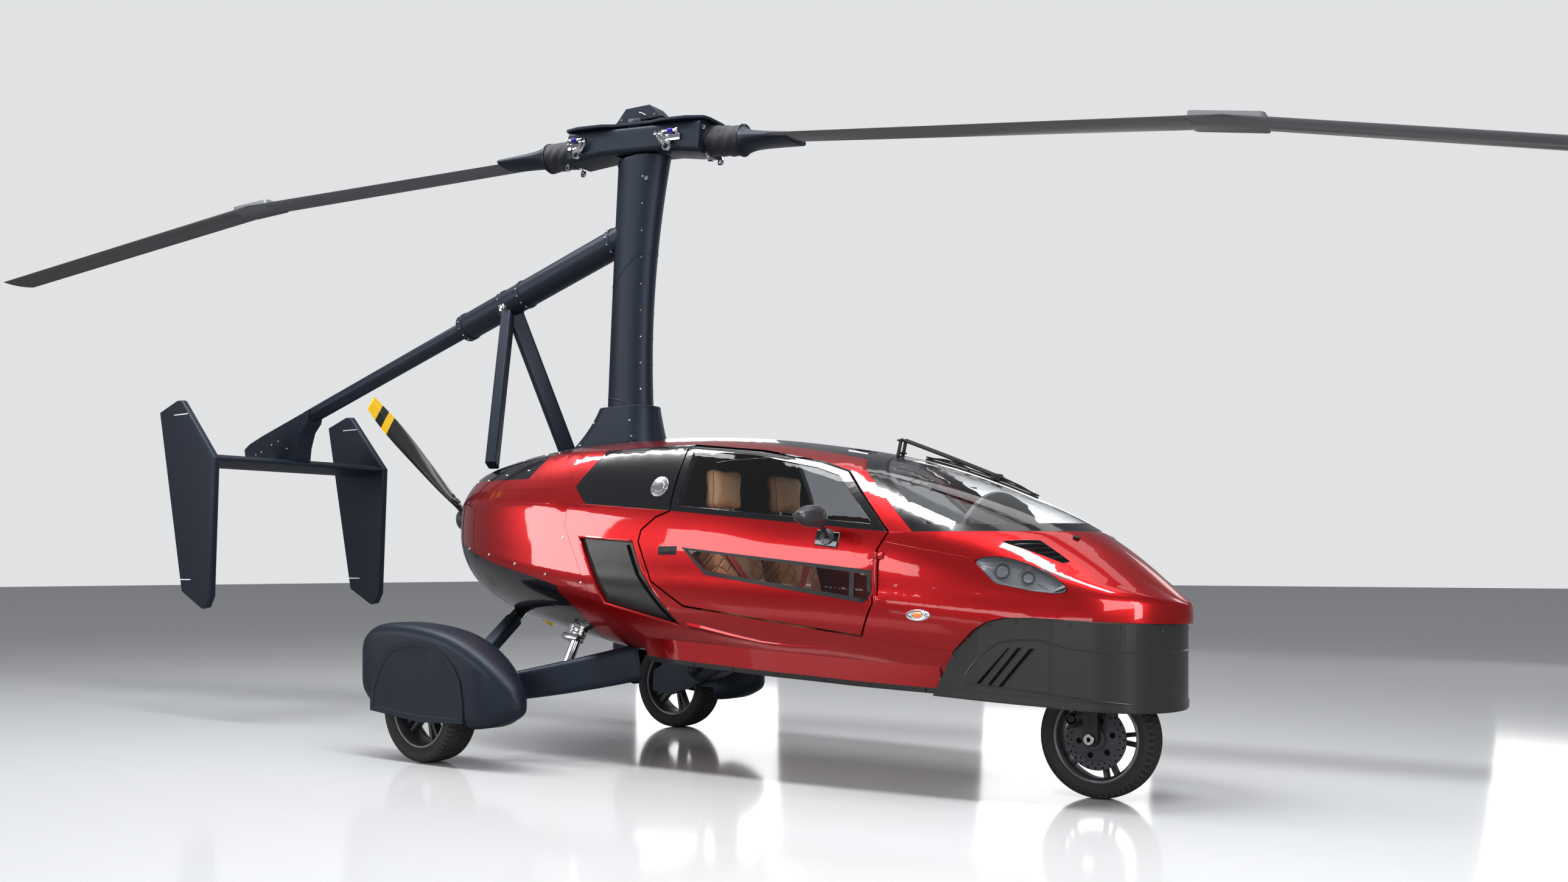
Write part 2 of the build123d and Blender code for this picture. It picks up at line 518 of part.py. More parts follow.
def rotor_nodes():
    """Turning tower with its teeter pin, and the hub bar, cuffs and blades that rock on it."""
    out = {}
    tower = Pos(0, 0, (MAST_TOP_Z + 3 + TEETER_Z + 24) / 2) * Cylinder(TOWER_R, TEETER_Z + 21 - MAST_TOP_Z)
    tower -= Pos(0, 0, MAST_TOP_Z + 30) * Cylinder(SPINDLE_R + RUN, 62.2)
    tower += Pos(0, 0, TEETER_Z) * Rot(90, 0, 0) * Cylinder(TEETER_PIN_R, 2 * (HUB_SLOT[1] + HUB_RAIL + 8))
    cap_line = [(-150, TEETER_Z + 24), (150, TEETER_Z + 24), (128, TEETER_Z + 34), (70, TEETER_Z + 92),
                (-74, TEETER_Z + 92), (-128, TEETER_Z + 34)]
    cap = make_face(Plane.XZ * Polyline(*cap_line, close=True))
    tower += extrude(cap, amount=TOWER_R, both=True)
    out["rotor_tower"] = tower
    bar = Pos(0, 0, ROTOR_Z) * Box(2 * HUB_HALF, 2 * (HUB_SLOT[1] + HUB_RAIL), HUB_DEPTH)
    bar -= Pos(0, 0, ROTOR_Z) * Box(2 * HUB_SLOT[0], 2 * HUB_SLOT[1], HUB_DEPTH + 2)
    cheek_z = (ROTOR_Z + TEETER_Z + 26) / 2
    for y in (-HUB_SLOT[1] - HUB_RAIL / 2, HUB_SLOT[1] + HUB_RAIL / 2):
        bar += Pos(0, y, cheek_z) * Box(74, HUB_RAIL, TEETER_Z + 26 - ROTOR_Z)
    bar -= Pos(0, 0, TEETER_Z) * Rot(90, 0, 0) * Cylinder(TEETER_PIN_R + RUN, 400)
    out["rotor_hub"] = bar
    cuffs, blades = [], []
    for turn in (0, 180):
        cuff = tube_between((400, 0, blade_z(400)), (700, 0, blade_z(700)), CUFF_R)
        shank_end = Pos(0, 0, ROTOR_Z) * Box(2 * HUB_HALF, 2 * SPAN, 2 * SPAN)
        taper = loft([Plane(origin=(700, 0, blade_z(700)), z_dir=(1, 0, -DROOP_INNER)) * Circle(CUFF_R),
                      Plane(origin=(880, 0, blade_z(880)), x_dir=(0, 1, 0), z_dir=(1, 0, 0))
                      * Ellipse(96, 24)])
        cuff = cuff + taper - shank_end
        blade = loft([blade_section(BLADE_ROOT_R, BLADE_CHORD * 0.8, BLADE_THICK),
                      blade_section(BLADE_FOLD_R, BLADE_CHORD, BLADE_THICK),
                      blade_section(ROTOR_R, BLADE_CHORD, BLADE_THICK * 0.7)], ruled=True)
        fold_plate = Box(300, BLADE_CHORD * 0.82, BLADE_THICK * 1.5)
        fold_plate = fillet(fold_plate.edges().filter_by(Axis.Z), 20)
        blade += Pos(BLADE_FOLD_R, -BLADE_CHORD * 0.18, blade_z(BLADE_FOLD_R)) * Rot(0, 6, 0) * fold_plate
        cuffs.append(Rot(0, 0, turn) * cuff)
        blades.append(Rot(0, 0, turn) * (blade - cuff))
    out["rotor_cuffs"] = Compound(children=cuffs)
    out["rotor_blade_front"], out["rotor_blade_rear"] = blades
    lean = Pos(0, 0, TEETER_Z) * Rot(0, ROTOR_TEETER, 0) * Pos(0, 0, -TEETER_Z)
    heading = Rot(0, 0, ROTOR_AZIMUTH)
    placed = {}
    for name, part in out.items():
        placed[name] = heading * part if name == "rotor_tower" else heading * lean * part
    return placed


STRUT_TOP = (-969, -16, 2310)
STRUT_FOOT = (-785, -300, 1440)
FIN_LINE = [(-3150, 1911), (-3205, 1913), (-3394, 1854), (-3155, 767), (-2945, 668), (-2893, 676), (-2850, 742),
            (-2804, 1553)]
TAIL_POST = [(-2700, 1878), (-3200, 1738), (-3330, 1696), (-3386, 1664), (-3364, 1560), (-2836, 1560),
             (-2822, 1650), (-2784, 1742), (-2724, 1796)]
TAILPLANE_X = (-3290.0, -2812.0)
TAILPLANE_THICK = 74.0


def boom_point(x, drop=0.0):
    """Point of the boom's axis at a station."""
    return (x, 0, BOOM_FRONT_Z + BOOM_SLOPE * (x - BOOM_FRONT_X) - drop)


def tail_nodes(mast):
    """Sliding boom, its struts and the tail it carries."""
    out = {}
    run = math.hypot(1, BOOM_SLOPE)
    bore_end = BOOM_STEP_X + (BOOM_LAP + BOOM_TRAVEL + 12) / run
    outer_solid = tube_between(boom_point(BOOM_FRONT_X + 80), boom_point(BOOM_STEP_X), BOOM_OUTER_R)
    outer = outer_solid - tube_between(boom_point(bore_end), boom_point(BOOM_STEP_X - 20), BOOM_INNER_R + FIT)
    out["boom_outer"] = outer - mast
    post = extrude(make_face(Plane.XZ * Polyline(*TAIL_POST, close=True)), amount=52, both=True)
    chord = TAILPLANE_X[1] - TAILPLANE_X[0]
    nose_x = TAILPLANE_X[1]
    foil = ThreePointArc((TAILPLANE_X[0], TAILPLANE_Z), (nose_x - chord * 0.35, TAILPLANE_Z + TAILPLANE_THICK / 2),
                         (nose_x, TAILPLANE_Z + 8))
    foil += Line((nose_x, TAILPLANE_Z + 8), (nose_x, TAILPLANE_Z - 8))
    foil += ThreePointArc((nose_x, TAILPLANE_Z - 8), (nose_x - chord * 0.35, TAILPLANE_Z - TAILPLANE_THICK / 2),
                          (TAILPLANE_X[0], TAILPLANE_Z))
    half = FIN_Y - FIN_THICK / 2 - FIT
    plane = extrude(Plane.XZ * make_face(foil), amount=half, both=True)
    inner_front = BOOM_STEP_X + BOOM_LAP / run
    inner = tube_between(boom_point(inner_front), boom_point(-2780), BOOM_INNER_R)
    out["boom_inner"] = inner - post
    out["tail_post"] = post - plane
    out["tailplane"] = plane
    fin = extrude(make_face(Plane.XZ * Polyline(*FIN_LINE, close=True)), amount=FIN_THICK / 2, both=True)
    fin = fillet(fin.edges().filter_by(Axis.Y, reverse=True), 15)
    out["fins"] = Compound(children=[Pos(0, -FIN_Y, 0) * fin, Pos(0, FIN_Y, 0) * fin])
    strut = bar_between(STRUT_TOP, STRUT_FOOT, 56, 88) - OUTER - outer_solid
    out["boom_struts"] = Compound(children=[strut, mirrored(strut)])
    return out


def prop_nodes():
    """Two-bladed pusher propeller on the gearbox shaft."""
    hub = Pos(PROP_X, 0, PROP_Z) * Rot(0, 90, 0) * (Cylinder(62, 88) - Cylinder(PROP_SHAFT_R + RUN, 90))
    # radius, chord, thickness, pitch from the disc plane
    rows = [(48, 74, 46, 62), (240, 138, 26, 38), (560, 142, 18, 22), (PROP_R, 96, 9, 14)]
    sections = []
    for r, chord, thick, pitch in rows:
        plane = Plane(origin=(0, 0, r), x_dir=(0, 1, 0), z_dir=(0, 0, 1))
        sections.append(plane * Rot(0, 0, pitch) * Ellipse(chord / 2, thick / 2))
    blade = loft(sections)
    blades = []
    for turn in (90 - PROP_ANGLE, 270 - PROP_ANGLE):
        blades.append(Pos(PROP_X, 0, PROP_Z) * Rot(turn, 0, 0) * blade - hub)
    return {"prop_hub": hub, "prop_blades": Compound(children=blades)}


def main():
    nodes = nodes_of_hull()
    nodes.update(cabin_nodes())
    door, panes, looking_glass, hinge, nose_cut = door_nodes()
    nodes["nose_shell"] -= nose_cut
    nodes["nose_shell"] -= mirrored(nose_cut)
    nodes["nose_shell"] += hinge
    nodes["nose_shell"] += mirrored(hinge)
    nodes["door_right"] = door
    nodes["door_left"] = mirrored(door)
    nodes["door_panes_right"] = Compound(children=panes)
    nodes["door_panes_left"] = Compound(children=[mirrored(p) for p in panes])
    nodes["mirror_right"] = looking_glass
    nodes["mirror_left"] = mirrored(looking_glass)
    nodes.update(front_nodes())
    rear = rear_nodes()
    for name in ("rear_tyre", "rear_rim"):
        nodes[f"{name}_right"] = rear[name]
        nodes[f"{name}_left"] = mirrored(rear[name])
    for name in ("rear_arm", "pod", "brace", "damper"):
        nodes[f"{name}s"] = Compound(children=[rear[name], mirrored(rear[name])])
    nodes.update(mast_nodes())
    nodes.update(rotor_nodes())
    nodes.update(tail_nodes(nodes["mast"]))
    nodes.update(prop_nodes())
    os.makedirs("parts", exist_ok=True)
    for name, part in nodes.items():
        export_step(part, f"parts/{name}.step")
        print(name, len(part.solids()), round(sum(s.volume for s in part.solids()) / 1e9, 4), "m3")
    print("door hinge y", -skin_y(DOOR_SWING_X, DOOR_SWING_Z))


main()
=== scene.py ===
"""Looks of a two-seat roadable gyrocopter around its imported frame.

Metres. X points forward, Y to the left, Z up, and the origin is on the ground under the rotor hub.
"""
import logging
import math
from dataclasses import dataclass
from enum import Enum
from typing import Callable, Optional, Sequence

import bmesh
import bpy
from mathutils import Matrix, Vector
from mathutils.bvhtree import BVHTree


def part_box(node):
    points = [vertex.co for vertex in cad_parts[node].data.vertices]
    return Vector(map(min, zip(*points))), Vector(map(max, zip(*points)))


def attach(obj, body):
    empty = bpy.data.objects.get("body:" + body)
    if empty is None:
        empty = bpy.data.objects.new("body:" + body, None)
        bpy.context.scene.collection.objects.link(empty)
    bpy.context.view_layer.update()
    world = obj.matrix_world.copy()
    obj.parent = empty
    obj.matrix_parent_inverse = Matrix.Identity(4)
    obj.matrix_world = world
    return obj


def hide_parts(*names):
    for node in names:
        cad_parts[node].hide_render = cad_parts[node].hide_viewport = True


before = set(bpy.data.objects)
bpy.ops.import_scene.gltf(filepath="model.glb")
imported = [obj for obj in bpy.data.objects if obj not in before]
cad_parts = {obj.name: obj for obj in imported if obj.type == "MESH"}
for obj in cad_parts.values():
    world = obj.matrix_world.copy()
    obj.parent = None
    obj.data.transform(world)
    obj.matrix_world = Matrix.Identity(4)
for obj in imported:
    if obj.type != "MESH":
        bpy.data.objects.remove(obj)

log = logging.getLogger("gyrocopter")
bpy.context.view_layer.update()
Colour = tuple[float, float, float]
Point = tuple[float, float, float]
Pair = tuple[float, float]
Line = tuple[Pair, ...]
Mesh = bmesh.types.BMesh
Socket = bpy.types.NodeSocket

BELT_REAR = (0.632, 1.165)      # ends of the door's belt line, as (x, z)
BELT_FRONT = (1.742, 1.056)
RIGHT, LEFT = -1, 1             # sign of y on each side
SIDES = {RIGHT: "right", LEFT: "left"}
UP = Vector((0.0, 0.0, 1.0))
FORWARD = Vector((1.0, 0.0, 0.0))
ACROSS = Vector((0.0, 1.0, 0.0))
MERGE = 0.00002                 # points nearer than this are one
BESIDE, OVERHEAD = 1.5, 2.0     # where lines of sight start, clear of the body
CREASE_LIFT = -0.0035           # axis of a raised crease, against the skin
SHADE_STRIP_LIFT = 0.0008             # face of a thin strip of painted shade, against the skin
PAD_PRESSURE, PAD_FRAMES = 4.0, 20
BLADE_ROOT_Z = 3.030            # height of the blades' line at the hub, and its fall per metre
BLADE_FALL = 0.054


class Tree:
    """Node tree of one material or group under construction."""

    def __init__(self, tree: bpy.types.NodeTree) -> None:
        """Keeps the tree that nodes are added to."""
        self.tree = tree

    def add(self, kind: str, **settings: object) -> bpy.types.Node:
        """Adds a node.

        Args:
            kind: type name without its ShaderNode prefix, or a full type name.
            settings: node properties; a key that is no property is an input, with spaces as underscores, and
                takes a socket or a plain value.

        Returns:
            The new node.
        """
        node = self.tree.nodes.new(kind if kind.startswith("NodeGroup") else "ShaderNode" + kind)
        for key, value in settings.items():
            if hasattr(node, key):
                setattr(node, key, value)
            else:
                self.link(value, node.inputs[key.replace("_", " ")])
        return node

    def link(self, source: object, target: Socket) -> None:
        """Feeds an input.

        Args:
            source: an output, or a number, vector or colour of three numbers.
            target: the input.
        """
        if isinstance(source, Socket):
            self.tree.links.new(source, target)
        else:
            target.default_value = (*source, 1.0) if target.type == "RGBA" else source

    def fill(self, node: bpy.types.Node, sources: dict[int, object]) -> bpy.types.Node:
        """Feeds a node's inputs by their numbers.

        Args:
            node: the node.
            sources: what each input gets, as for link.

        Returns:
            The node.
        """
        for number, source in sources.items():
            self.link(source, node.inputs[number])
        return node

    def maths(self, operation: str, first: object, second: object = 0.0) -> Socket:
        """The result of an operation on two sockets or numbers."""
        return self.fill(self.add("Math", operation=operation), {0: first, 1: second}).outputs[0]

    def mixed(self, factor: Socket, low: object, high: object) -> Socket:
        """The mix of two colours or sockets, from low at factor 0 to high at factor 1."""
        return self.fill(self.add("Mix", data_type="RGBA"), {0: factor, 6: low, 7: high}).outputs[2]

    def ramp(self, value: Socket, low: float, high: float) -> Socket:
        """A value's range from low to high mapped onto 0 to 1, clamped."""
        return self.add("MapRange", Value=value, From_Min=low, From_Max=high).outputs[0]

    def place(self) -> Socket:
        """The piece's own coordinates, in metres."""
        return self.add("TexCoord").outputs["Object"]

    def axes(self) -> Sequence[Socket]:
        """The piece's own X, Y and Z, in metres."""
        return self.add("SeparateXYZ", Vector=self.place()).outputs

    def wave(self, value: Socket, pitch: float) -> Socket:
        """A zigzag between 0 and 0.5 that repeats with each pitch of a value."""
        return self.maths("PINGPONG", self.maths("DIVIDE", value, pitch), 0.5)


class Effect(Enum):
    """Shader node groups that several finishes share: name, inputs with their defaults, and outputs."""

    SMUDGE = ("uneven_gloss", {"Scale": 3.0, "Roughness": 0.2, "Spread": 0.05}, ["Roughness"])
    PEEL = ("paint_peel", {"Scale": 220.0, "Depth": 0.00002}, ["Height"])
    FLAKE = ("paint_flake", {"Scale": 900.0}, ["Sparkle"])
    TWILL = ("carbon_twill", {"Pitch": 0.004}, ["Tow", "Height"])
    GRAIN = ("hide_grain", {"Scale": 420.0, "Depth": 0.0003}, ["Height", "Shade"])

    def group(self) -> bpy.types.NodeTree:
        """Builds the group on its first use.

        Returns:
            The group.
        """
        name, inputs, outputs = self.value
        found = bpy.data.node_groups.get(name)
        if found:
            return found
        group = bpy.data.node_groups.new(name, "ShaderNodeTree")
        for key in inputs:
            socket = group.interface.new_socket(key, in_out="INPUT", socket_type="NodeSocketFloat")
            socket.default_value = inputs[key]
        for key in outputs:
            group.interface.new_socket(key, in_out="OUTPUT", socket_type="NodeSocketFloat")
        tree = Tree(group)
        given = tree.add("NodeGroupInput").outputs
        sink = tree.add("NodeGroupOutput").inputs
        for key, result in zip(outputs, BUILDERS[self](tree, given)):
            tree.link(result, sink[key])
        return group


def build_smudge(tree: Tree, given: Sequence[Socket]) -> list[Socket]:
    """Gloss that varies a little over the surface, as on wiped paint.

    Args:
        tree: the group's tree.
        given: the group's inputs.

    Returns:
        The group's results.
    """
    noise = tree.add("TexNoise", Vector=tree.place(), Scale=given["Scale"], Detail=5.0, Roughness=0.6)
    spread = tree.maths("MULTIPLY", tree.maths("SUBTRACT", noise.outputs["Fac"], 0.5), given["Spread"])
    return [tree.maths("ADD", given["Roughness"], tree.maths("MULTIPLY", spread, 4.0))]


def build_peel(tree: Tree, given: Sequence[Socket]) -> list[Socket]:
    """The faint waviness of sprayed lacquer."""
    noise = tree.add("TexNoise", Vector=tree.place(), Scale=given["Scale"], Detail=1.0, Roughness=0.4)
    return [tree.maths("MULTIPLY", noise.outputs["Fac"], given["Depth"])]


def build_flake(tree: Tree, given: Sequence[Socket]) -> list[Socket]:
    """Metal flakes under lacquer, each with its own brightness."""
    cells = tree.add("TexVoronoi", feature="F1", Vector=tree.place(), Scale=given["Scale"])
    return [tree.add("RGBToBW", Color=cells.outputs["Color"]).outputs[0]]


def build_twill(tree: Tree, given: Sequence[Socket]) -> list[Socket]:
    """Two-by-two twill of carbon tows, run around the body so that it reads at a slant from any side.

    Args:
        tree: the group's tree.
        given: the group's inputs.

    Returns:
        The group's results.
    """
    x, y, z = tree.axes()
    along = tree.maths("SUBTRACT", x, tree.maths("ABSOLUTE", y))
    first, second = [tree.maths("DIVIDE", tree.maths(sign, along, z), given["Pitch"])
                     for sign in ("ADD", "SUBTRACT")]
    cells = tree.maths("ADD", tree.maths("FLOOR", first), tree.maths("FLOOR", second))
    tow = tree.maths("LESS_THAN", tree.maths("FLOORED_MODULO", cells, 4.0), 1.5)
    crowns = tree.maths("ADD", tree.maths("PINGPONG", first, 0.5), tree.maths("PINGPONG", second, 0.5))
    return [tow, tree.maths("MULTIPLY", crowns, 0.00012)]


def build_grain(tree: Tree, given: Sequence[Socket]) -> list[Socket]:
    """Pebbled grain of hide, with creases between the pebbles.

    Args:
        tree: the group's tree.
        given: the group's inputs.

    Returns:
        The group's results.
    """
    place = tree.place()
    cells = tree.add("TexVoronoi", feature="DISTANCE_TO_EDGE", Vector=place, Scale=given["Scale"])
    pebble = tree.ramp(cells.outputs["Distance"], 0.0, 0.18)
    patches = tree.add("TexNoise", Vector=place, Scale=9.0, Detail=4.0).outputs["Fac"]
    shade = tree.maths("MULTIPLY", patches, tree.maths("ADD", pebble, 2.0))
    return [tree.maths("MULTIPLY", pebble, given["Depth"]), shade]


BUILDERS = {Effect.SMUDGE: build_smudge, Effect.PEEL: build_peel, Effect.FLAKE: build_flake,
            Effect.TWILL: build_twill, Effect.GRAIN: build_grain}


def placed(tree: Tree, effect: Effect, **values: float) -> Sequence[Socket]:
    """Adds a shared effect with a finish's values, and returns its outputs."""
    return tree.add("Group", node_tree=effect.group(), **values).outputs


@dataclass(frozen=True)
class Finish:
    """A surface finish that becomes one material.

    The shader's plain numbers are set on its own sockets. Colours and heights come from the pattern.
    """

    name: str
    colour: Colour
    roughness: float = 0.4
    metallic: float = 0.0
    coat: float = 0.0
    coat_roughness: float = 0.03
    spread: float = 0.03
    specular: float = 0.5
    sheen: float = 0.0
    cloud: float = 0.2

    def material(self) -> bpy.types.Material:
        """Builds the material on its first use.

        Returns:
            The material.
        """
        found = bpy.data.materials.get(self.name)
        if found:
            return found
        made = bpy.data.materials.new(self.name)
        made.use_nodes = True
        tree = Tree(made.node_tree)
        shader = made.node_tree.nodes["Principled BSDF"]
        for key, value in (("Metallic", self.metallic), ("Coat Weight", self.coat),
                           ("Coat Roughness", self.coat_roughness), ("Sheen Weight", self.sheen),
                           ("Specular IOR Level", self.specular), ("Roughness", self.roughness)):
            tree.link(value, shader.inputs[key])
        if self.spread > 0:
            gloss = placed(tree, Effect.SMUDGE, Scale=3.5, Roughness=self.roughness, Spread=self.spread)
            tree.link(gloss["Roughness"], shader.inputs["Roughness"])
        self.pattern(tree, shader)
        return made

    def times(self, factor: float) -> Colour:
        """The colour made lighter or darker."""
        return tuple(min(1.0, channel * factor) for channel in self.colour)

    def tint(self, tree: Tree, shader: bpy.types.Node, factor: Socket, low: Colour, high: Colour) -> None:
        """Feeds the mix of two colours to the shader."""
        tree.link(tree.mixed(factor, low, high), shader.inputs["Base Color"])

    def bump(self, tree: Tree, shader: bpy.types.Node, height: Socket, strength: float = 1.0) -> None:
        """Feeds a height in metres to the shader's normal."""
        node = tree.add("Bump", Height=height, Strength=strength, Distance=1.0)
        tree.link(node.outputs[0], shader.inputs["Normal"])

    def pattern(self, tree: Tree, shader: bpy.types.Node) -> None:
        """Gives the shader a colour with faint cloudy variation."""
        cloud = tree.add("TexNoise", Vector=tree.place(), Scale=6.0, Detail=5.0).outputs["Fac"]
        self.tint(tree, shader, tree.ramp(cloud, 0.35, 0.65), self.times(1 - self.cloud),
                  self.times(1 + self.cloud))


@dataclass(frozen=True)
class Paint(Finish):
    """Sprayed paint with metal flake under lacquer."""

    flake: float = 0.25
    flake_scale: float = 900.0

    def pattern(self, tree: Tree, shader: bpy.types.Node) -> None:
        """Gives the shader flakes of differing brightness, and the lacquer's peel.

        Args:
            tree: the material's tree.
            shader: its Principled shader.
        """
        flakes = placed(tree, Effect.FLAKE, Scale=self.flake_scale)
        self.tint(tree, shader, flakes["Sparkle"], self.times(1 - self.flake), self.times(1 + self.flake))
        self.bump(tree, shader, placed(tree, Effect.PEEL, Scale=160.0, Depth=0.00001)["Height"])


@dataclass(frozen=True)
class Tipped(Finish):
    """Blade paint with coloured bands at the tips, by distance from the hub."""

    hub: Point = (0.0, 0.0, 0.0)
    flat: bool = True
    band: Colour = (0.75, 0.48, 0.01)
    bands: Line = ((5.27, 9.0),)     # inner and outer radius

    def pattern(self, tree: Tree, shader: bpy.types.Node) -> None:
        """Lays the bands over the blade's colour.

        Args:
            tree: the material's tree.
            shader: its Principled shader.
        """
        plane = (1.0, 1.0, 0.0) if self.flat else (0.0, 1.0, 1.0)
        away = tree.fill(tree.add("VectorMath", operation="SUBTRACT"), {0: tree.place(), 1: self.hub})
        shadow = tree.fill(tree.add("VectorMath", operation="MULTIPLY"), {0: away.outputs[0], 1: plane})
        radius = tree.add("VectorMath", operation="LENGTH", Vector=shadow.outputs[0]).outputs["Value"]
        colour: object = self.colour
        for start, end in self.bands:
            past, short = tree.maths("GREATER_THAN", radius, start), tree.maths("LESS_THAN", radius, end)
            colour = tree.mixed(tree.maths("MULTIPLY", past, short), colour, self.band)
        tree.link(colour, shader.inputs["Base Color"])
        self.bump(tree, shader, placed(tree, Effect.PEEL, Scale=90.0, Depth=0.00003)["Height"])


@dataclass(frozen=True)
class Carbon(Finish):
    """Woven carbon under gloss resin."""

    pitch: float = 0.0045
    tow: Colour = (0.024, 0.025, 0.027)

    def pattern(self, tree: Tree, shader: bpy.types.Node) -> None:
        """Gives the shader a twill with lighter and darker tows.

        Args:
            tree: the material's tree.
            shader: its Principled shader.
        """
        weave = placed(tree, Effect.TWILL, Pitch=self.pitch)
        self.tint(tree, shader, weave["Tow"], self.colour, self.tow)
        self.bump(tree, shader, weave["Height"], 0.5)


@dataclass(frozen=True)
class Hide(Finish):
    """Grained leather."""

    grain_scale: float = 420.0
    depth: float = 0.0003

    def grain(self, tree: Tree) -> Sequence[Socket]:
        """The outputs of the hide's grain."""
        return placed(tree, Effect.GRAIN, Scale=self.grain_scale, Depth=self.depth)

    def pattern(self, tree: Tree, shader: bpy.types.Node) -> None:
        """Gives the shader grain with patchy colour.

        Args:
            tree: the material's tree.
            shader: its Principled shader.
        """
        grain = self.grain(tree)
        self.tint(tree, shader, tree.ramp(grain["Shade"], 0.7, 1.7), self.times(0.62), self.colour)
        self.bump(tree, shader, grain["Height"])


@dataclass(frozen=True)
class Glass(Finish):
    """Clear or tinted glazing that lets light into the cabin."""

    def pattern(self, tree: Tree, shader: bpy.types.Node) -> None:
        """Gives the shader a plain tint, with shadow rays let through.

        Args:
            tree: the material's tree.
            shader: its Principled shader.
        """
        for key, value in (("Base Color", self.colour), ("Transmission Weight", 1.0), ("IOR", 1.45)):
            tree.link(value, shader.inputs[key])
        clear = tree.add("BsdfTransparent", Color=self.colour)
        shadow = tree.add("LightPath").outputs["Is Shadow Ray"]
        both = tree.fill(tree.add("MixShader"), {0: shadow, 1: shader.outputs[0], 2: clear.outputs[0]})
        tree.link(both.outputs[0], tree.tree.nodes["Material Output"].inputs["Surface"])


@dataclass(frozen=True)
class Quilt(Hide):
    """Grained leather sewn in diamonds."""

    pitch: float = 0.085
    puff: float = 0.005

    def pattern(self, tree: Tree, shader: bpy.types.Node) -> None:
        """Raises diamonds between sunk seams, darkened with painted shade.

        Args:
            tree: the material's tree.
            shader: its Principled shader.
        """
        x, y, z = tree.axes()
        rise = tree.maths("SUBTRACT", z, x)
        first, second = [tree.wave(tree.maths(sign, y, rise), self.pitch) for sign in ("ADD", "SUBTRACT")]
        edge = tree.maths("MINIMUM", first, second)
        pillow = tree.maths("MULTIPLY", tree.ramp(edge, 0.0, 0.16), self.puff)
        # the darker band along each sunk seam is painted shade in the crease
        self.tint(tree, shader, tree.ramp(edge, 0.015, 0.05), self.times(0.45), self.colour)
        self.bump(tree, shader, tree.maths("ADD", pillow, self.grain(tree)["Height"]))


@dataclass(frozen=True)
class Webbing(Finish):
    """Woven band or cloth with fine ribs."""

    pitch: float = 0.0024

    def pattern(self, tree: Tree, shader: bpy.types.Node) -> None:
        """Gives the shader ribs across the weave.

        Args:
            tree: the material's tree.
            shader: its Principled shader.
        """
        x, y, z = tree.axes()
        rib, weft = tree.wave(tree.maths("ADD", z, x), self.pitch), tree.wave(y, self.pitch * 1.4)
        woven = tree.maths("ADD", rib, tree.maths("MULTIPLY", weft, 0.6))
        self.tint(tree, shader, tree.ramp(woven, 0.1, 0.7), self.times(0.6), self.colour)
        self.bump(tree, shader, tree.maths("MULTIPLY", woven, 0.0004))


RED = Paint("candy_red", (0.40, 0.001, 0.004), roughness=0.30, metallic=0.72, coat=1.0, spread=0.01)
GLOSS_BLACK = Paint("gloss_black", (0.006, 0.006, 0.008), roughness=0.16, coat=1.0, spread=0.01, flake=0.1)
BLUE_BLACK = Paint("blue_black", (0.0035, 0.0052, 0.011), roughness=0.28, coat=1.0, spread=0.02, flake=0.2)
SATIN_BLACK = Finish("satin_black", (0.014, 0.014, 0.015), roughness=0.42, spread=0.05)
CARBON = Carbon("carbon", (0.007, 0.0072, 0.008), roughness=0.32, coat=0.8, coat_roughness=0.06, spread=0.02)
BLADE_GREY = Tipped("blade_grey", (0.075, 0.078, 0.082), roughness=0.38, coat=0.25, spread=0.04)
RUBBER = Finish("tyre_rubber", (0.016, 0.016, 0.016), roughness=0.72, spread=0.06, specular=0.35)
DARK_ALLOY = Finish("dark_alloy", (0.05, 0.051, 0.054), roughness=0.34, metallic=0.75, spread=0.05)
STEEL = Finish("bright_steel", (0.60, 0.60, 0.61), roughness=0.24, metallic=1.0, spread=0.05)
CHROME = Finish("chrome", (0.80, 0.80, 0.82), roughness=0.07, metallic=1.0, spread=0.01)
TAN = Hide("tan_leather", (0.43, 0.150, 0.050), roughness=0.48, spread=0.05, sheen=0.15)
TRIM = Hide("cabin_trim", (0.035, 0.034, 0.034), roughness=0.6, grain_scale=600.0, depth=0.0002)
CLEAR = Glass("clear_glazing", (0.90, 0.92, 0.93), roughness=0.0, spread=0.0)
LAMP_CLEAR = Glass("lamp_glazing", (0.96, 0.97, 0.98), roughness=0.02, spread=0.0)
BROWN = Hide("brown_leather", (0.16, 0.055, 0.022), roughness=0.45, spread=0.04)
TAN_SEAM = Finish("tan_thread", (0.30, 0.13, 0.055), roughness=0.6, spread=0.05)
QUILTED = Quilt("quilted_leather", (0.46, 0.185, 0.075), roughness=0.5, spread=0.05, sheen=0.15)
RIM_GREY = Finish("rim_grey", (0.16, 0.165, 0.175), roughness=0.34, metallic=0.5, coat=0.3, spread=0.04)
SATIN_GREY = Finish("satin_grey", (0.045, 0.047, 0.052), roughness=0.36, metallic=0.3, coat=0.4, spread=0.04)
RED_WEB = Webbing("red_webbing", (0.55, 0.010, 0.014), roughness=0.62, spread=0.05, sheen=0.3)
BRASS = Finish("brass", (0.62, 0.42, 0.16), roughness=0.28, metallic=1.0, spread=0.05)
PURPLE = Finish("purple_anodised", (0.055, 0.030, 0.28), roughness=0.26, metallic=0.8, spread=0.03)
CLOTH = Webbing("sleeve_cloth", (0.007, 0.009, 0.017), roughness=0.55, spread=0.06, sheen=0.12, pitch=0.0016)
AMBER = Finish("amber_lens", (0.85, 0.22, 0.01), roughness=0.15, coat=1.0, spread=0.01)
# Painted light: the bright gaps above and below each rudder, where light shows through.
SLOT_LIGHT = Finish("painted_slot_light", (0.75, 0.75, 0.74), roughness=0.35, spread=0.03)
# Painted shade: flat black that stands in for the shade inside vents, louvres, slots, drilled holes and the
# roof vent's opening. The dash's dial faces and screen also use it as their own dark colour.
SHADOW = Finish("deep_black", (0.004, 0.004, 0.004), roughness=0.85, spread=0.02, specular=0.1)


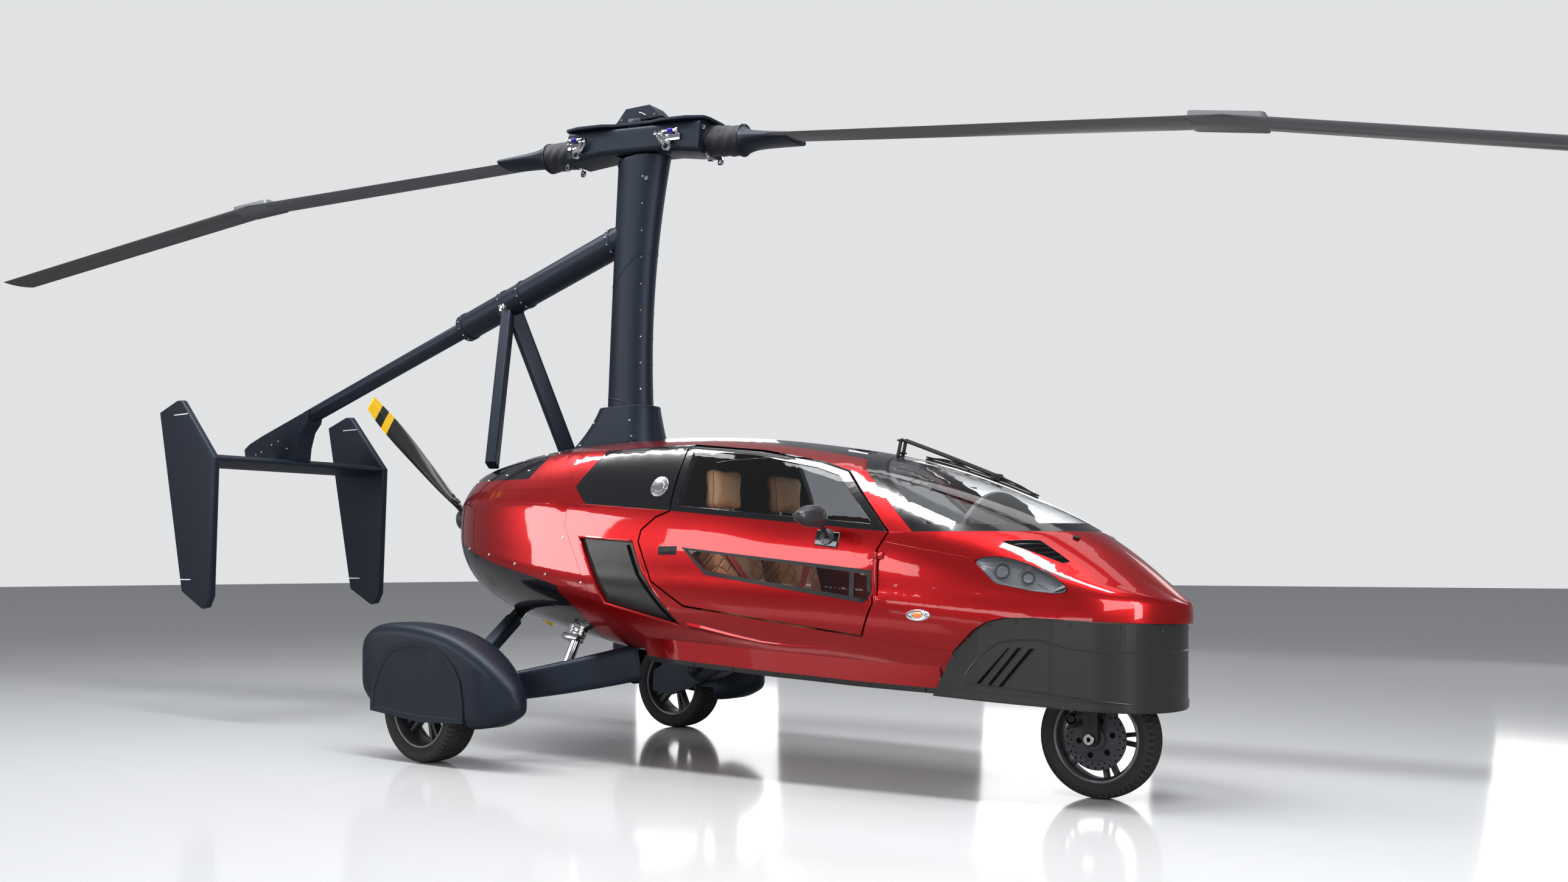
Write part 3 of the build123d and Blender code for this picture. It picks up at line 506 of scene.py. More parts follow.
def aimed(at: Vector, out: Vector, along: Vector = UP) -> Matrix:
    """Places a shape with its Z axis along out and its X axis near along.

    Args:
        at: where the shape's origin goes.
        out: direction of its Z axis.
        along: direction that its X axis leans to.

    Returns:
        The placing matrix.
    """
    axis = out.normalized()
    first = along - axis * along.dot(axis)
    first = first.normalized() if first.length > 1e-4 else axis.orthogonal().normalized()
    turned = Matrix((first, axis.cross(first), axis)).transposed().to_4x4()
    return Matrix.Translation(at) @ turned


def numbered(bm: Mesh, before: set, number: int) -> list:
    """Gives a material number to the faces added since a snapshot, and returns them."""
    fresh = [face for face in bm.faces if face not in before]
    for face in fresh:
        face.material_index = number
    return fresh


def corners_of(faces: Sequence[bmesh.types.BMFace]) -> list:
    """The vertices of some faces, each once."""
    return list({v for face in faces for v in face.verts})


def soften(bm: Mesh, edges: set, width: float, segments: int = 2, clamp: bool = True) -> None:
    """Rounds edges over, unless the width is 0."""
    if width > 0:
        bmesh.ops.bevel(bm, geom=list(edges), offset=width, segments=segments, profile=0.5, affect="EDGES",
                        material=-1, clamp_overlap=clamp)


def spokes(out: Vector, count: int, first: float = 0.0, along: Vector = UP) -> list[Vector]:
    """Unit vectors spaced evenly round an axis.

    Args:
        out: direction of the axis.
        count: how many.
        first: angle of the first one, in degrees from along.
        along: direction that the angles start from.

    Returns:
        The vectors.
    """
    turned = aimed(Vector(), out, along)
    return [turned @ Matrix.Rotation(math.radians(first + 360.0 * i / count), 4, "Z") @ FORWARD
            for i in range(count)]


def chain(bm: Mesh, places: Sequence[Vector], closed: bool) -> tuple[list, list]:
    """Adds a line of edges.

    Args:
        bm: the mesh.
        places: where it runs.
        closed: whether it comes back to its start.

    Returns:
        Its vertices and its edges.
    """
    verts = [bm.verts.new(place) for place in places]
    pairs = zip(verts, verts[1:] + verts[:1]) if closed else zip(verts, verts[1:])
    return verts, [bm.edges.new(pair) for pair in pairs]


def stood(bm: Mesh, name: str = "shape") -> bpy.types.Object:
    """Stands a mesh in the scene as an object.

    Args:
        bm: the mesh; it is freed.
        name: the object's name.

    Returns:
        The object.
    """
    mesh = bpy.data.meshes.new(name)
    bm.to_mesh(mesh)
    bm.free()
    piece = bpy.data.objects.new(name, mesh)
    bpy.context.scene.collection.objects.link(piece)
    return piece


def applied(piece: bpy.types.Object) -> bpy.types.Mesh:
    """A new mesh with an object's modifiers applied."""
    return bpy.data.meshes.new_from_object(piece.evaluated_get(bpy.context.evaluated_depsgraph_get()))


def drum(bm: Mesh, at: Vector, out: Vector, radius: float, height: float,
         top: Optional[float] = None, sides: int = 20, number: int = 0, stretch: float = 1.0,
         along: Vector = UP, edge: float = 0.0) -> list:
    """Adds a drum or cone that stands on a point.

    Args:
        bm: the mesh.
        at: middle of its foot.
        out: the way it stands.
        radius: at its foot.
        height: its length.
        top: radius of its far end, or None for the same.
        sides: number of sides.
        number: material number.
        stretch: how many times longer it is along its first axis.
        along: direction of that axis.
        edge: rounding of its rim.

    Returns:
        Its faces.
    """
    before = set(bm.faces)
    matrix = aimed(at + out.normalized() * height / 2, out, along) @ Matrix.Diagonal((stretch, 1.0, 1.0, 1.0))
    made = bmesh.ops.create_cone(bm, cap_ends=True, segments=sides, radius1=radius,
                                 radius2=radius if top is None else top, depth=height, matrix=matrix)
    rims = {e for v in made["verts"] for e in v.link_edges
            if any(len(face.verts) > 4 for face in e.link_faces)}
    soften(bm, rims, edge, clamp=False)
    return numbered(bm, before, number)


def block(bm: Mesh, at: Vector, size: Point, out: Vector = UP, along: Vector = FORWARD,
          number: int = 0, edge: float = 0.0, segments: int = 2) -> list:
    """Adds a box with rounded edges.

    Args:
        bm: the mesh.
        at: its middle.
        size: its extents along along, across, and along out.
        out: direction of its third extent.
        along: direction of its first extent.
        number: material number.
        edge: rounding of its edges.
        segments: faces across the rounding.

    Returns:
        Its faces.
    """
    before = set(bm.faces)
    made = bmesh.ops.create_cube(bm, size=1.0, matrix=aimed(at, out, along) @ Matrix.Diagonal((*size, 1.0)))
    soften(bm, {e for v in made["verts"] for e in v.link_edges}, edge, segments)
    return numbered(bm, before, number)


def screw(bm: Mesh, at: Vector, out: Vector, radius: float = 0.007, number: int = 0) -> None:
    """Adds a screw head with a socket.

    Args:
        bm: the mesh.
        at: point on the surface under it.
        out: the surface's normal.
        radius: of the head.
        number: material number.
    """
    faces = drum(bm, at - out * radius * 0.2, out, radius, radius * 0.55, radius * 0.8, 12, number)
    cap = max(faces, key=lambda face: face.calc_center_median().dot(out))
    bmesh.ops.inset_region(bm, faces=[cap], thickness=radius * 0.3)
    bmesh.ops.translate(bm, verts=cap.verts, vec=out * radius * -0.3)


def strand(bm: Mesh, points: Sequence[Vector], radius: float, closed: bool = False,
           number: int = 0, smooth: bool = False) -> list:
    """Adds a round bar along a line of points.

    Args:
        bm: the mesh.
        points: the line.
        radius: of the bar.
        closed: whether the line comes back to its start.
        number: material number.
        smooth: whether the line curves through its points.

    Returns:
        Its faces.
    """
    before = set(bm.faces)
    curve = bpy.data.curves.new("line", "CURVE")
    curve.dimensions = "3D"
    curve.bevel_depth = radius
    curve.bevel_resolution = 2
    curve.use_fill_caps = True
    spline = curve.splines.new("NURBS" if smooth else "POLY")
    spline.points.add(len(points) - 1)
    for point, place in zip(spline.points, points):
        point.co = (*place, 1.0)
    spline.use_cyclic_u = closed
    if smooth:
        spline.order_u = 3
        spline.use_endpoint_u = not closed
        spline.resolution_u = 6
    carrier = bpy.data.objects.new("line", curve)
    mesh = bpy.data.meshes.new_from_object(carrier)
    bm.from_mesh(mesh)
    faces = numbered(bm, before, number)
    bmesh.ops.remove_doubles(bm, verts=corners_of(faces), dist=radius * 0.01)
    bpy.data.objects.remove(carrier)
    bpy.data.curves.remove(curve)
    bpy.data.meshes.remove(mesh)
    return numbered(bm, before, number)


def strip(bm: Mesh, first: Sequence[Vector], second: Sequence[Vector], out: Vector, wall: float,
          closed: bool = False, number: int = 0) -> list:
    """Adds a flat strip between two lines of as many points.

    Args:
        bm: the mesh.
        first: one edge of its outer face.
        second: the other edge.
        out: the way that its outer face looks, roughly.
        wall: its thickness, behind the outer face.
        closed: whether it is a ring.
        number: material number.

    Returns:
        Its faces.
    """
    before = set(bm.faces)
    edges = []
    for line in (first, second):
        edges += chain(bm, line, closed)[1]
    bmesh.ops.bridge_loops(bm, edges=edges)
    faces = [face for face in bm.faces if face not in before]
    bm.normal_update()
    if sum(face.normal.dot(out) for face in faces) < 0:
        bmesh.ops.reverse_faces(bm, faces=faces)
    bmesh.ops.solidify(bm, geom=faces, thickness=wall)
    return numbered(bm, before, number)


def plate(bm: Mesh, points: Sequence[Vector], depth: Vector, number: int = 0,
          edge: float = 0.0) -> list:
    """Adds an outline pushed through by a depth.

    Args:
        bm: the mesh.
        points: the outline.
        depth: the push.
        number: material number.
        edge: rounding of its edges.

    Returns:
        Its faces.
    """
    before = set(bm.faces)
    face = bm.faces.new([bm.verts.new(place) for place in points])
    bm.normal_update()
    if face.normal.dot(depth) > 0:
        bmesh.ops.reverse_faces(bm, faces=[face])
    pushed = bmesh.ops.extrude_face_region(bm, geom=[face], use_keep_orig=True)
    bmesh.ops.translate(bm, verts=[v for v in pushed["geom"] if isinstance(v, bmesh.types.BMVert)], vec=depth)
    fresh = numbered(bm, before, number)
    bmesh.ops.recalc_face_normals(bm, faces=fresh)
    soften(bm, {e for face in fresh for e in face.edges}, edge)
    return numbered(bm, before, number)


def lathe(bm: Mesh, profile: Sequence[Pair], centre: Vector, axis: Vector,
          steps: int = 48, number: int = 0) -> list:
    """Adds a turned shape.

    Args:
        bm: the mesh.
        profile: its closed outline, as distance along the axis from the centre, and radius.
        centre: a point of the axis.
        axis: its direction.
        steps: sides round the axis.
        number: material number.

    Returns:
        Its faces.
    """
    before = set(bm.faces)
    unit = axis.normalized()
    across = unit.orthogonal().normalized()
    verts, edges = chain(bm, [centre + unit * along + across * radius for along, radius in profile], True)
    bmesh.ops.spin(bm, geom=verts + edges, cent=centre, axis=unit, angle=math.tau, steps=steps,
                   use_merge=True)
    bmesh.ops.remove_doubles(bm, verts=corners_of(numbered(bm, before, number)), dist=0.00001)
    fresh = numbered(bm, before, number)
    bmesh.ops.recalc_face_normals(bm, faces=fresh)
    return fresh


def join(bm: Mesh, other: Mesh) -> None:
    """Moves another mesh's faces into a mesh, and frees the other."""
    holder = bpy.data.meshes.new("holder")
    other.to_mesh(holder)
    other.free()
    bm.from_mesh(holder)
    bpy.data.meshes.remove(holder)


def carved(bm: Mesh, cutter: Mesh) -> Mesh:
    """Cuts one closed shape out of another.

    Args:
        bm: the shape that stays; it is freed.
        cutter: the shape that is taken away; it is freed.

    Returns:
        The cut shape.
    """
    pair = [stood(bm), stood(cutter)]
    cut = pair[0].modifiers.new("cut", "BOOLEAN")
    cut.operation = "DIFFERENCE"
    cut.solver = "EXACT"
    cut.object = pair[1]
    out = bmesh.new()
    out.from_mesh(applied(pair[0]))
    for piece in pair:
        bpy.data.objects.remove(piece)
    return out


def rounded(half_width: float, half_height: float, corner: float, steps: int = 5) -> list:
    """Outline of a rounded rectangle round the origin.

    Args:
        half_width: half of its first extent.
        half_height: half of its second extent.
        corner: radius of its corners.
        steps: sides of each corner.

    Returns:
        The points, as pairs.
    """
    out = []
    for quarter, (i, j) in enumerate(((1, 1), (-1, 1), (-1, -1), (1, -1))):
        for step in range(steps + 1):
            turn = math.radians(90 * (quarter + step / steps))
            out.append((i * (half_width - corner) + corner * math.cos(turn),
                        j * (half_height - corner) + corner * math.sin(turn)))
    return out


def eased(rows: Sequence[Sequence[float]], steps: int) -> list:
    """Rows on a smooth curve through a table's rows.

    Args:
        rows: the table.
        steps: rows to make for each gap between two.

    Returns:
        The finer table.
    """
    out = []
    for i in range(len(rows) - 1):
        before, here = rows[max(0, i - 1)], rows[i]
        ahead, after = rows[i + 1], rows[min(len(rows) - 1, i + 2)]
        for step in range(steps):
            t = step / steps
            out.append(tuple(
                b + t * (0.5 * (c - a) + t * ((a - 2.5 * b + 2 * c - 0.5 * d)
                                              + t * 0.5 * (3 * (b - c) + d - a)))
                for a, b, c, d in zip(before, here, ahead, after)))
    out.append(tuple(rows[-1]))
    return out


def loft(bm: Mesh, rings: Sequence[Sequence[Vector]], number: int = 0) -> list:
    """Adds a closed skin through rings of as many points.

    Args:
        bm: the mesh.
        rings: its rings, from end to end.
        number: material number.

    Returns:
        Its faces.
    """
    before = set(bm.faces)
    rows = [[bm.verts.new(place) for place in ring] for ring in rings]
    for first, second in zip(rows, rows[1:]):
        for i in range(len(first)):
            j = (i + 1) % len(first)
            bm.faces.new((first[i], first[j], second[j], second[i]))
    for row in (rows[0], rows[-1]):
        bm.faces.new(row)
    fresh = numbered(bm, before, number)
    bmesh.ops.recalc_face_normals(bm, faces=fresh)
    return fresh


def blade_height(reach: float) -> float:
    """Height of the resting blade's middle at a radius, before the rotor leans on its stop."""
    return BLADE_ROOT_Z - BLADE_FALL * reach


def on_blade(reach: float, wide: float, tall: float, turn: float) -> Vector:
    """Point at an angle of an oval round the resting blade's middle."""
    return Vector((reach, wide * math.cos(turn), blade_height(reach) + tall * math.sin(turn)))


def between(first: Pair, second: Pair, share: float) -> Pair:
    """The point that lies a share of the way from one pair to another."""
    return tuple(a + (b - a) * share for a, b in zip(first, second))


def sampled(points: Sequence[Pair], step: float, closed: bool = False, guide: Sequence[Pair] = ()) -> list:
    """Points along a broken line.

    Args:
        points: the line's corners, as pairs.
        step: the most that two points may be apart.
        closed: whether the line comes back to its start.
        guide: as many corners of another line, if the steps are to be counted on that.

    Returns:
        The points, as pairs.
    """
    guide = guide or points
    out = []
    for i in range(len(points) if closed else len(points) - 1):
        j = (i + 1) % len(points)
        apart = math.hypot(guide[j][0] - guide[i][0], guide[j][1] - guide[i][1])
        count = max(1, math.ceil(apart / step))
        out += [between(points[i], points[j], k / count) for k in range(count)]
    return out if closed else out + [tuple(points[-1])]


def widened(points: Sequence[Pair], distance: float) -> list:
    """Moves each corner of a closed outline outwards.

    Args:
        points: the outline, as pairs.
        distance: how far its sides move; below 0 for inwards.

    Returns:
        The moved corners.
    """
    count = len(points)
    area = sum(points[i][0] * points[(i + 1) % count][1] - points[(i + 1) % count][0] * points[i][1]
               for i in range(count))
    turn = distance if area > 0 else -distance
    moved = []
    for i in range(count):
        here = Vector(points[i])
        back = (here - Vector(points[i - 1])).normalized()
        ahead = (Vector(points[(i + 1) % count]) - here).normalized()
        sides = Vector((back.y, -back.x)) + Vector((ahead.y, -ahead.x))
        moved.append(tuple(here + sides * turn / max(0.35, sides.length_squared / 2)))
    return moved


class Skin:
    """Finds places on the surface of some CAD nodes."""

    def __init__(self, *nodes: str, mesh: Optional[Mesh] = None) -> None:
        """Gathers the faces of the nodes, or of a mesh."""
        bm = mesh.copy() if mesh else bmesh.new()
        for node in nodes:
            bm.from_mesh(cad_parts[node].data)
        self.tree = BVHTree.FromBMesh(bm)
        bm.free()

    def hit(self, start: Vector, along: Vector, lift: float = 0.0) -> tuple[Vector, Vector]:
        """Where a line of sight meets the surface.

        Args:
            start: where it starts.
            along: its direction.
            lift: how far the place stands off the surface.

        Returns:
            The place and the surface's normal.
        """
        place, normal, _, _ = self.tree.ray_cast(start, along)
        if place is None:
            place, normal, _, _ = self.tree.find_nearest(start + along)
        if normal.dot(along) > 0:
            normal = -normal
        return place + normal * lift, normal

    def flank(self, x: float, z: float, side: int, lift: float = 0.0) -> tuple[Vector, Vector]:
        """Place and normal at a point of the side view."""
        return self.hit(Vector((x, side * BESIDE, z)), ACROSS * -side, lift)

    def top(self, x: float, y: float, lift: float = 0.0) -> tuple[Vector, Vector]:
        """Place and normal at a point of the plan."""
        return self.hit(Vector((x, y, OVERHEAD)), -UP, lift)

    def plan(self, points: Sequence[Pair], side: int, lift: float = 0.0) -> list[Vector]:
        """Places of some points of the plan's left half, on one side."""
        return [self.top(x, side * y, lift)[0] for x, y in points]

    def line(self, points: Sequence[Pair], side: int, lift: float = 0.0, step: float = 0.03,
             closed: bool = False) -> list[Vector]:
        """Places along a broken line of the side view.

        Args:
            points: the line's corners, as (x, z).
            side: which flank.
            lift: how far the places stand off the surface.
            step: the most that two may be apart.
            closed: whether the line comes back to its start.

        Returns:
            The places.
        """
        return [self.flank(x, z, side, lift)[0] for x, z in sampled(points, step, closed)]

    def frame(self, bm: Mesh, points: Sequence[Pair], side: int, inner: float,
              outer: float, lift: float) -> None:
        """Adds a flat border along a closed outline of the side view.

        Args:
            bm: the mesh.
            points: the outline, as (x, z).
            side: which flank.
            inner: how far inside the outline the border reaches.
            outer: how far outside.
            lift: how far it stands off the surface.
        """
        lines = []
        for distance in (-inner, outer):
            edge = sampled(widened(points, distance), 0.04, True, points)
            lines.append([self.flank(x, z, side, lift)[0] for x, z in edge])
        strip(bm, *lines, ACROSS * side, lift + 0.001, True)


@dataclass
class Assembly:
    """A sub-assembly whose pieces ride on one body."""

    body: str

    def add(self, name: str, bm: Mesh, slot: str, finishes: Sequence[Finish],
            stands_for: Sequence[str] = (), sharp: float = 35.0, bevel: float = 0.0) -> bpy.types.Object:
        """Turns a mesh into a piece that rides on the body.

        Args:
            name: the piece's name.
            bm: its mesh, in place; it is freed.
            slot: not used.
            finishes: its materials, in the order of its faces' material numbers.
            stands_for: nodes that it replaces.
            sharp: angle in degrees over which an edge stays sharp.
            bevel: width of the rounding on sharp edges, in metres; 0 for none.

        Returns:
            The piece.
        """
        for face in bm.faces:
            face.smooth = True
        piece = stood(bm, name)
        for finish in finishes:
            piece.data.materials.append(finish.material())
        piece.data.set_sharp_from_angle(angle=math.radians(sharp))
        if bevel > 0:
            rounding = piece.modifiers.new("rounding", "BEVEL")
            rounding.width = bevel
            rounding.segments = 2
            rounding.limit_method = "ANGLE"
            rounding.angle_limit = math.radians(sharp)
        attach(piece, self.body)
        if stands_for:
            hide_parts(*stands_for)
        log.info("%s: %d faces on %s", name, len(piece.data.polygons), self.body)
        return piece

    def polish(self, node: str, slot: str, *finishes: Finish, sharp: float = 35.0, bevel: float = 0.0012,
               cut: Optional[Callable[[Mesh], None]] = None) -> bpy.types.Object:
        """Stands a merged, smooth-shaded copy in for a node.

        Args:
            node: the node.
            slot: handed on to add, which does not use it.
            finishes: its materials.
            sharp: angle in degrees over which an edge stays sharp.
            bevel: width of the rounding on sharp edges.
            cut: divides the faces and gives them material numbers.

        Returns:
            The piece.
        """
        bm = node_mesh(node)
        if cut:
            cut(bm)
        return self.add(f"{node}_finished", bm, slot, finishes, [node], sharp, bevel)


def node_mesh(node: str) -> Mesh:
    """A node's mesh with its loose triangles merged.

    Args:
        node: the node's name.

    Returns:
        The mesh.
    """
    bm = bmesh.new()
    bm.from_mesh(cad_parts[node].data)
    bmesh.ops.remove_doubles(bm, verts=bm.verts, dist=MERGE)
    bmesh.ops.dissolve_degenerate(bm, edges=bm.edges, dist=MERGE)
    for face in bm.faces:
        face.material_index = 0
    return bm


def slice_mesh(bm: Mesh, point: Point, normal: Point) -> None:
    """Divides a mesh's faces along a plane."""
    geometry = list(bm.verts) + list(bm.edges) + list(bm.faces)
    bmesh.ops.bisect_plane(bm, geom=geometry, dist=MERGE, plane_co=Vector(point), plane_no=Vector(normal))


def slice_side(bm: Mesh, a: Pair, b: Pair) -> None:
    """Divides a mesh's faces along a line of the side view.

    Args:
        bm: the mesh.
        a: one point of the line, as (x, z).
        b: another point.
    """
    slice_mesh(bm, (a[0], 0.0, a[1]), (b[1] - a[1], 0.0, a[0] - b[0]))


def above(point: Vector, a: Pair, b: Pair) -> bool:
    """Whether a point lies over a line of the side view."""
    return point.z > a[1] + (b[1] - a[1]) * ((point.x - a[0]) / (b[0] - a[0]))


def paint(bm: Mesh, number: int, test: Callable[[Vector], bool]) -> None:
    """Gives a material number to the faces whose centre passes a test."""
    for face in bm.faces:
        if test(face.calc_center_median()):
            face.material_index = number


@dataclass
class Shell(Assembly):
    """The body's skin panels and their trim."""

    body: str = "airframe"
    roof_black_from: float = -0.13       # station where the roof's middle turns black
    roof_half_rear: float = 0.225        # half width of the black part, at its rear and at the windscreen
    roof_half_front: float = 0.245
    roof_front: float = 1.45
    roof_tail: Line = ((-1.20, 1.356), (-0.330, 1.343), (-0.240, 1.490))     # under the black tail, as (x, z)
    # Points of the tables below are (x, z) in the side view, and (x, y) for the deck and the vents.
    lamps: tuple[Point, ...] = ((2.190, 0.899, 0.030), (2.288, 0.874, 0.025))     # x, z, radius
    lamp_middle: Pair = (2.270, 0.884)
    lamp_line: Line = (
        (2.096, 0.936), (2.098, 0.943), (2.108, 0.950), (2.128, 0.955), (2.160, 0.957), (2.194, 0.955),
        (2.235, 0.946), (2.279, 0.932), (2.323, 0.915), (2.356, 0.899), (2.388, 0.881), (2.414, 0.863),
        (2.434, 0.846), (2.444, 0.832), (2.440, 0.821), (2.424, 0.816), (2.401, 0.8155), (2.359, 0.820),
        (2.325, 0.8235), (2.273, 0.834), (2.230, 0.843), (2.186, 0.852), (2.166, 0.868), (2.142, 0.890),
        (2.116, 0.914), (2.099, 0.930))
    cowl_screws: Line = (
        (-0.004, 1.055), (0.122, 0.843), (-0.119, 0.881), (-0.338, 0.931), (-0.549, 0.975), (-0.778, 1.002))
    deck_screws: Line = (
        (-0.883, 0.305), (-0.698, 0.400), (-0.530, 0.430), (-0.364, 0.440), (-0.255, 0.340))
    intake: Line = (
        (0.108, 1.052), (0.440, 1.030), (0.500, 0.900), (0.640, 0.735), (0.700, 0.660), (0.263, 0.753),
        (0.144, 0.976))
    indicator: Pair = (1.885, 0.728)
    sill: Line = (
        (0.400, 0.510), (0.589, 0.502), (0.791, 0.491), (1.023, 0.478), (1.264, 0.466), (1.528, 0.452),
        (1.832, 0.441), (1.935, 0.437))
    sill_rise: float = 0.090             # how far up the flank the mouldings start
    sill_band: float = 0.0215            # height of the dark strip under them
    sill_drop: float = 0.0105            # how far down that strip its bolts sit
    sill_bolts: tuple[float, ...] = (0.48, 0.70, 0.93, 1.155, 1.385, 1.62, 1.86)
    ledge: Line = (
        (0.742, 0.668), (0.825, 0.656), (0.967, 0.628), (1.127, 0.601), (1.269, 0.590), (1.560, 0.581))
    vent: Line = ((2.176, 0.359), (2.296, 0.284), (2.418, 0.286), (2.398, 0.304))

    def build(self) -> None:
        """Dresses every fixed panel."""
        for node in ("tub", "rear_cowls"):
            self.polish(node, "red_paint", RED, bevel=0.002)
        self.polish("roof_shell", "red_paint", RED, GLOSS_BLACK, cut=self.cut_roof, bevel=0.002)
        for node in ("aft_side_panels", "engine_deck"):
            self.polish(node, "black_gloss", GLOSS_BLACK)
        self.polish("side_intakes", "carbon", CARBON)
        self.polish("belly_cowl", "carbon", GLOSS_BLACK)
        self.polish("windscreen", "dark_glass", CLEAR, GLOSS_BLACK, cut=self.cut_screen, bevel=0.0)
        self.headlamps()
        self.screws()
        self.creases()
        self.sills()
        self.small_lights()
        self.roof_vent()
        self.deck()
        self.intakes()
        self.filler_cap()
        self.hood_vents()

    def roof_line(self, x: float) -> float:
        """Half width of the black middle at a station."""
        share = (x - self.roof_black_from) / (self.roof_front - self.roof_black_from)
        return self.roof_half_rear + (self.roof_half_front - self.roof_half_rear) * share

    def cut_roof(self, bm: Mesh) -> None:
        """Parts the roof's black middle and its black tail from the red rails."""
        slice_mesh(bm, (self.roof_black_from, 0.0, 0.0), FORWARD)
        fall = self.roof_line(1.0) - self.roof_line(0.0)
        for side in SIDES:
            slice_mesh(bm, (self.roof_black_from, side * self.roof_half_rear, 0.0), (-side * fall, 1.0, 0.0))
        rear, corner, front = self.roof_tail
        slice_side(bm, corner, front)
        slice_side(bm, rear, corner)
        slant = (corner[0] - front[0]) / (corner[1] - front[1])
        paint(bm, 1, lambda p: p.x > self.roof_black_from and abs(p.y) < self.roof_line(p.x))
        paint(bm, 1, lambda p: p.x < corner[0] + (p.z - corner[1]) * slant and above(p, rear, corner))

    def cut_screen(self, bm: Mesh) -> None:
        """Parts the windscreen's black border from its clear middle."""
        sill = 1.085
        pillar = ((1.90, 1.056), (1.546, 1.372))
        header = 1.47
        slice_mesh(bm, (0.0, 0.0, sill), (0.0, 0.0, 1.0))
        slice_side(bm, *pillar)
        slice_mesh(bm, (header, 0.0, 0.0), (1.0, 0.0, 0.0))
        paint(bm, 1, lambda p: p.z < sill or p.x < header or not above(p, *pillar))

    def screws(self) -> None:
        """Sets the screws round the cowls and the deck."""
        bm = bmesh.new()
        cowls, deck = Skin("rear_cowls", "tub", "roof_shell"), Skin("engine_deck", "roof_shell")
        for side in SIDES:
            for x, z in self.cowl_screws:
                screw(bm, *cowls.flank(x, z, side), radius=0.0075)
            for x, y in self.deck_screws:
                screw(bm, *deck.top(x, side * y), radius=0.0065)
        self.add("panel_screws", bm, "steel", [STEEL])

    def creases(self) -> None:
        """Raises the shoulder lines of the nose and the cowls, and the bright line over each headlamp."""
        nose, cowl = Skin("nose_shell"), Skin("rear_cowls")
        bm = bmesh.new()
        for side in SIDES:
            for skin, step, shoulder in ((nose, 0.04, ((1.735, 1.013), (1.90, 0.982), (2.075, 0.950))),
                                         (cowl, 0.05, ((-1.06, 1.208), (-0.60, 1.216), (-0.12, 1.214)))):
                strand(bm, skin.line(shoulder, side, CREASE_LIFT, step), 0.0050)
        self.add("shoulder_lines", bm, "red_paint", [RED])
        bm = bmesh.new()
        for side in SIDES:
            strand(bm, nose.line([(2.335, 0.908), (2.38, 0.892), (2.436, 0.867)], side, 0.0, 0.02), 0.0030)
        self.add("lamp_slivers", bm, "steel", [CHROME])

    def headlamps(self) -> None:
        """Opens the nose along the lamps' outline, and sets a clear cover, a bowl and two lamps in it."""
        skin = Skin("nose_shell", "headlamps")
        cutter, covers, bowls, rims, lenses = (bmesh.new() for _ in range(5))
        outline = sampled(self.lamp_line, 0.012, True)
        for side in SIDES:
            plate(cutter, [Vector((x, side * 0.31, z)) for x, z in self.lamp_line], ACROSS * side * 0.20)

            def ring(share: float, depth: float) -> list[Vector]:
                """The outline shrunk towards its middle, on the skin or behind it."""
                places = [skin.flank(*between(self.lamp_middle, corner, share), side)[0]
                          for corner in outline]
                return [place + Vector((-0.2, -side, -0.1)) * depth for place in places]

            shares = (0.04, 0.30, 0.55, 0.78, 0.92, 0.985)
            loft(covers, [ring(share, 0.003) for share in shares]
                 + [ring(share, 0.0) for share in shares[::-1]])
            inside = ((0.04, 0.030), (0.45, 0.030), (0.80, 0.028), (0.90, 0.018), (0.965, 0.0045))
            loft(bowls, [ring(share, depth + 0.002) for share, depth in inside]
                 + [ring(share, depth) for share, depth in inside[::-1]])
        nose = carved(node_mesh("nose_shell"), cutter)
        self.add("nose_shell_shaped", nose, "red_paint", [RED], ["nose_shell"], bevel=0.002)
        self.add("headlamps_shaped", covers, "lamp_glass", [LAMP_CLEAR], ["headlamps"])
        housing = Skin(mesh=bowls)
        self.add("lamp_bowls", bowls, "steel", [RIM_GREY])
        for side in SIDES:
            for x, z, radius in self.lamps:
                spot, facing = housing.flank(x, z, side)
                inner = radius * 0.78
                lathe(rims, [(0.0, radius), (0.008, radius), (0.005, radius * 0.84), (0.001, inner)],
                      spot, facing, 32)
                drum(lenses, spot, facing, inner, 0.006, radius * 0.50, 24)
        self.add("lamp_rims", rims, "steel", [SATIN_GREY])
        self.add("lamp_bulbs", lenses, "lamp_glass", [LAMP_CLEAR])

    def sills(self) -> None:
        """Brings the flanks down to a dark bolted strip, and raises the ledge ahead of each intake."""
        tub = Skin("tub")
        bm, bolts = bmesh.new(), bmesh.new()
        for side in SIDES:
            out = ACROSS * side
            line = sampled(self.sill, 0.05)
            tops = [tub.flank(x, z + self.sill_rise, side, -0.001)[0] for x, z in line]
            feet = [Vector((x, top.y - side * (0.020 + max(0.0, 0.036 - 0.009 * i)), z))
                    for i, ((x, z), top) in enumerate(zip(line, tops))]
            lows = [foot - UP * self.sill_band - out * 0.001 for foot in feet]
            inner = [foot + UP * 0.020 - out * 0.080 for foot in feet]
            strip(bm, tops, feet, out, 0.003)
            strip(bm, feet, lows, out, 0.004, number=1)
            strip(bm, lows, inner, -UP, 0.003, number=1)
            for i in (0, -1):
                plate(bm, [tops[i], feet[i], lows[i], inner[i]], FORWARD * (0.003 if i == 0 else -0.003))
            for x in self.sill_bolts:
                foot = min(feet, key=lambda place: abs(place.x - x))
                screw(bolts, foot - UP * self.sill_drop, out, 0.0062)
            line = sampled(self.ledge, 0.04)
            rings = []
            for i, (x, z) in enumerate(line):
                size = 1.02 - i / (len(line) - 1)
                section = ((0.007, 0.0), (-0.002, 0.010), (-0.027, 0.0), (-0.010, -0.004))     # rise, lift
                rings.append([tub.flank(x, z + rise * size, side, lift * size - 0.0008)[0]
                              for rise, lift in section])
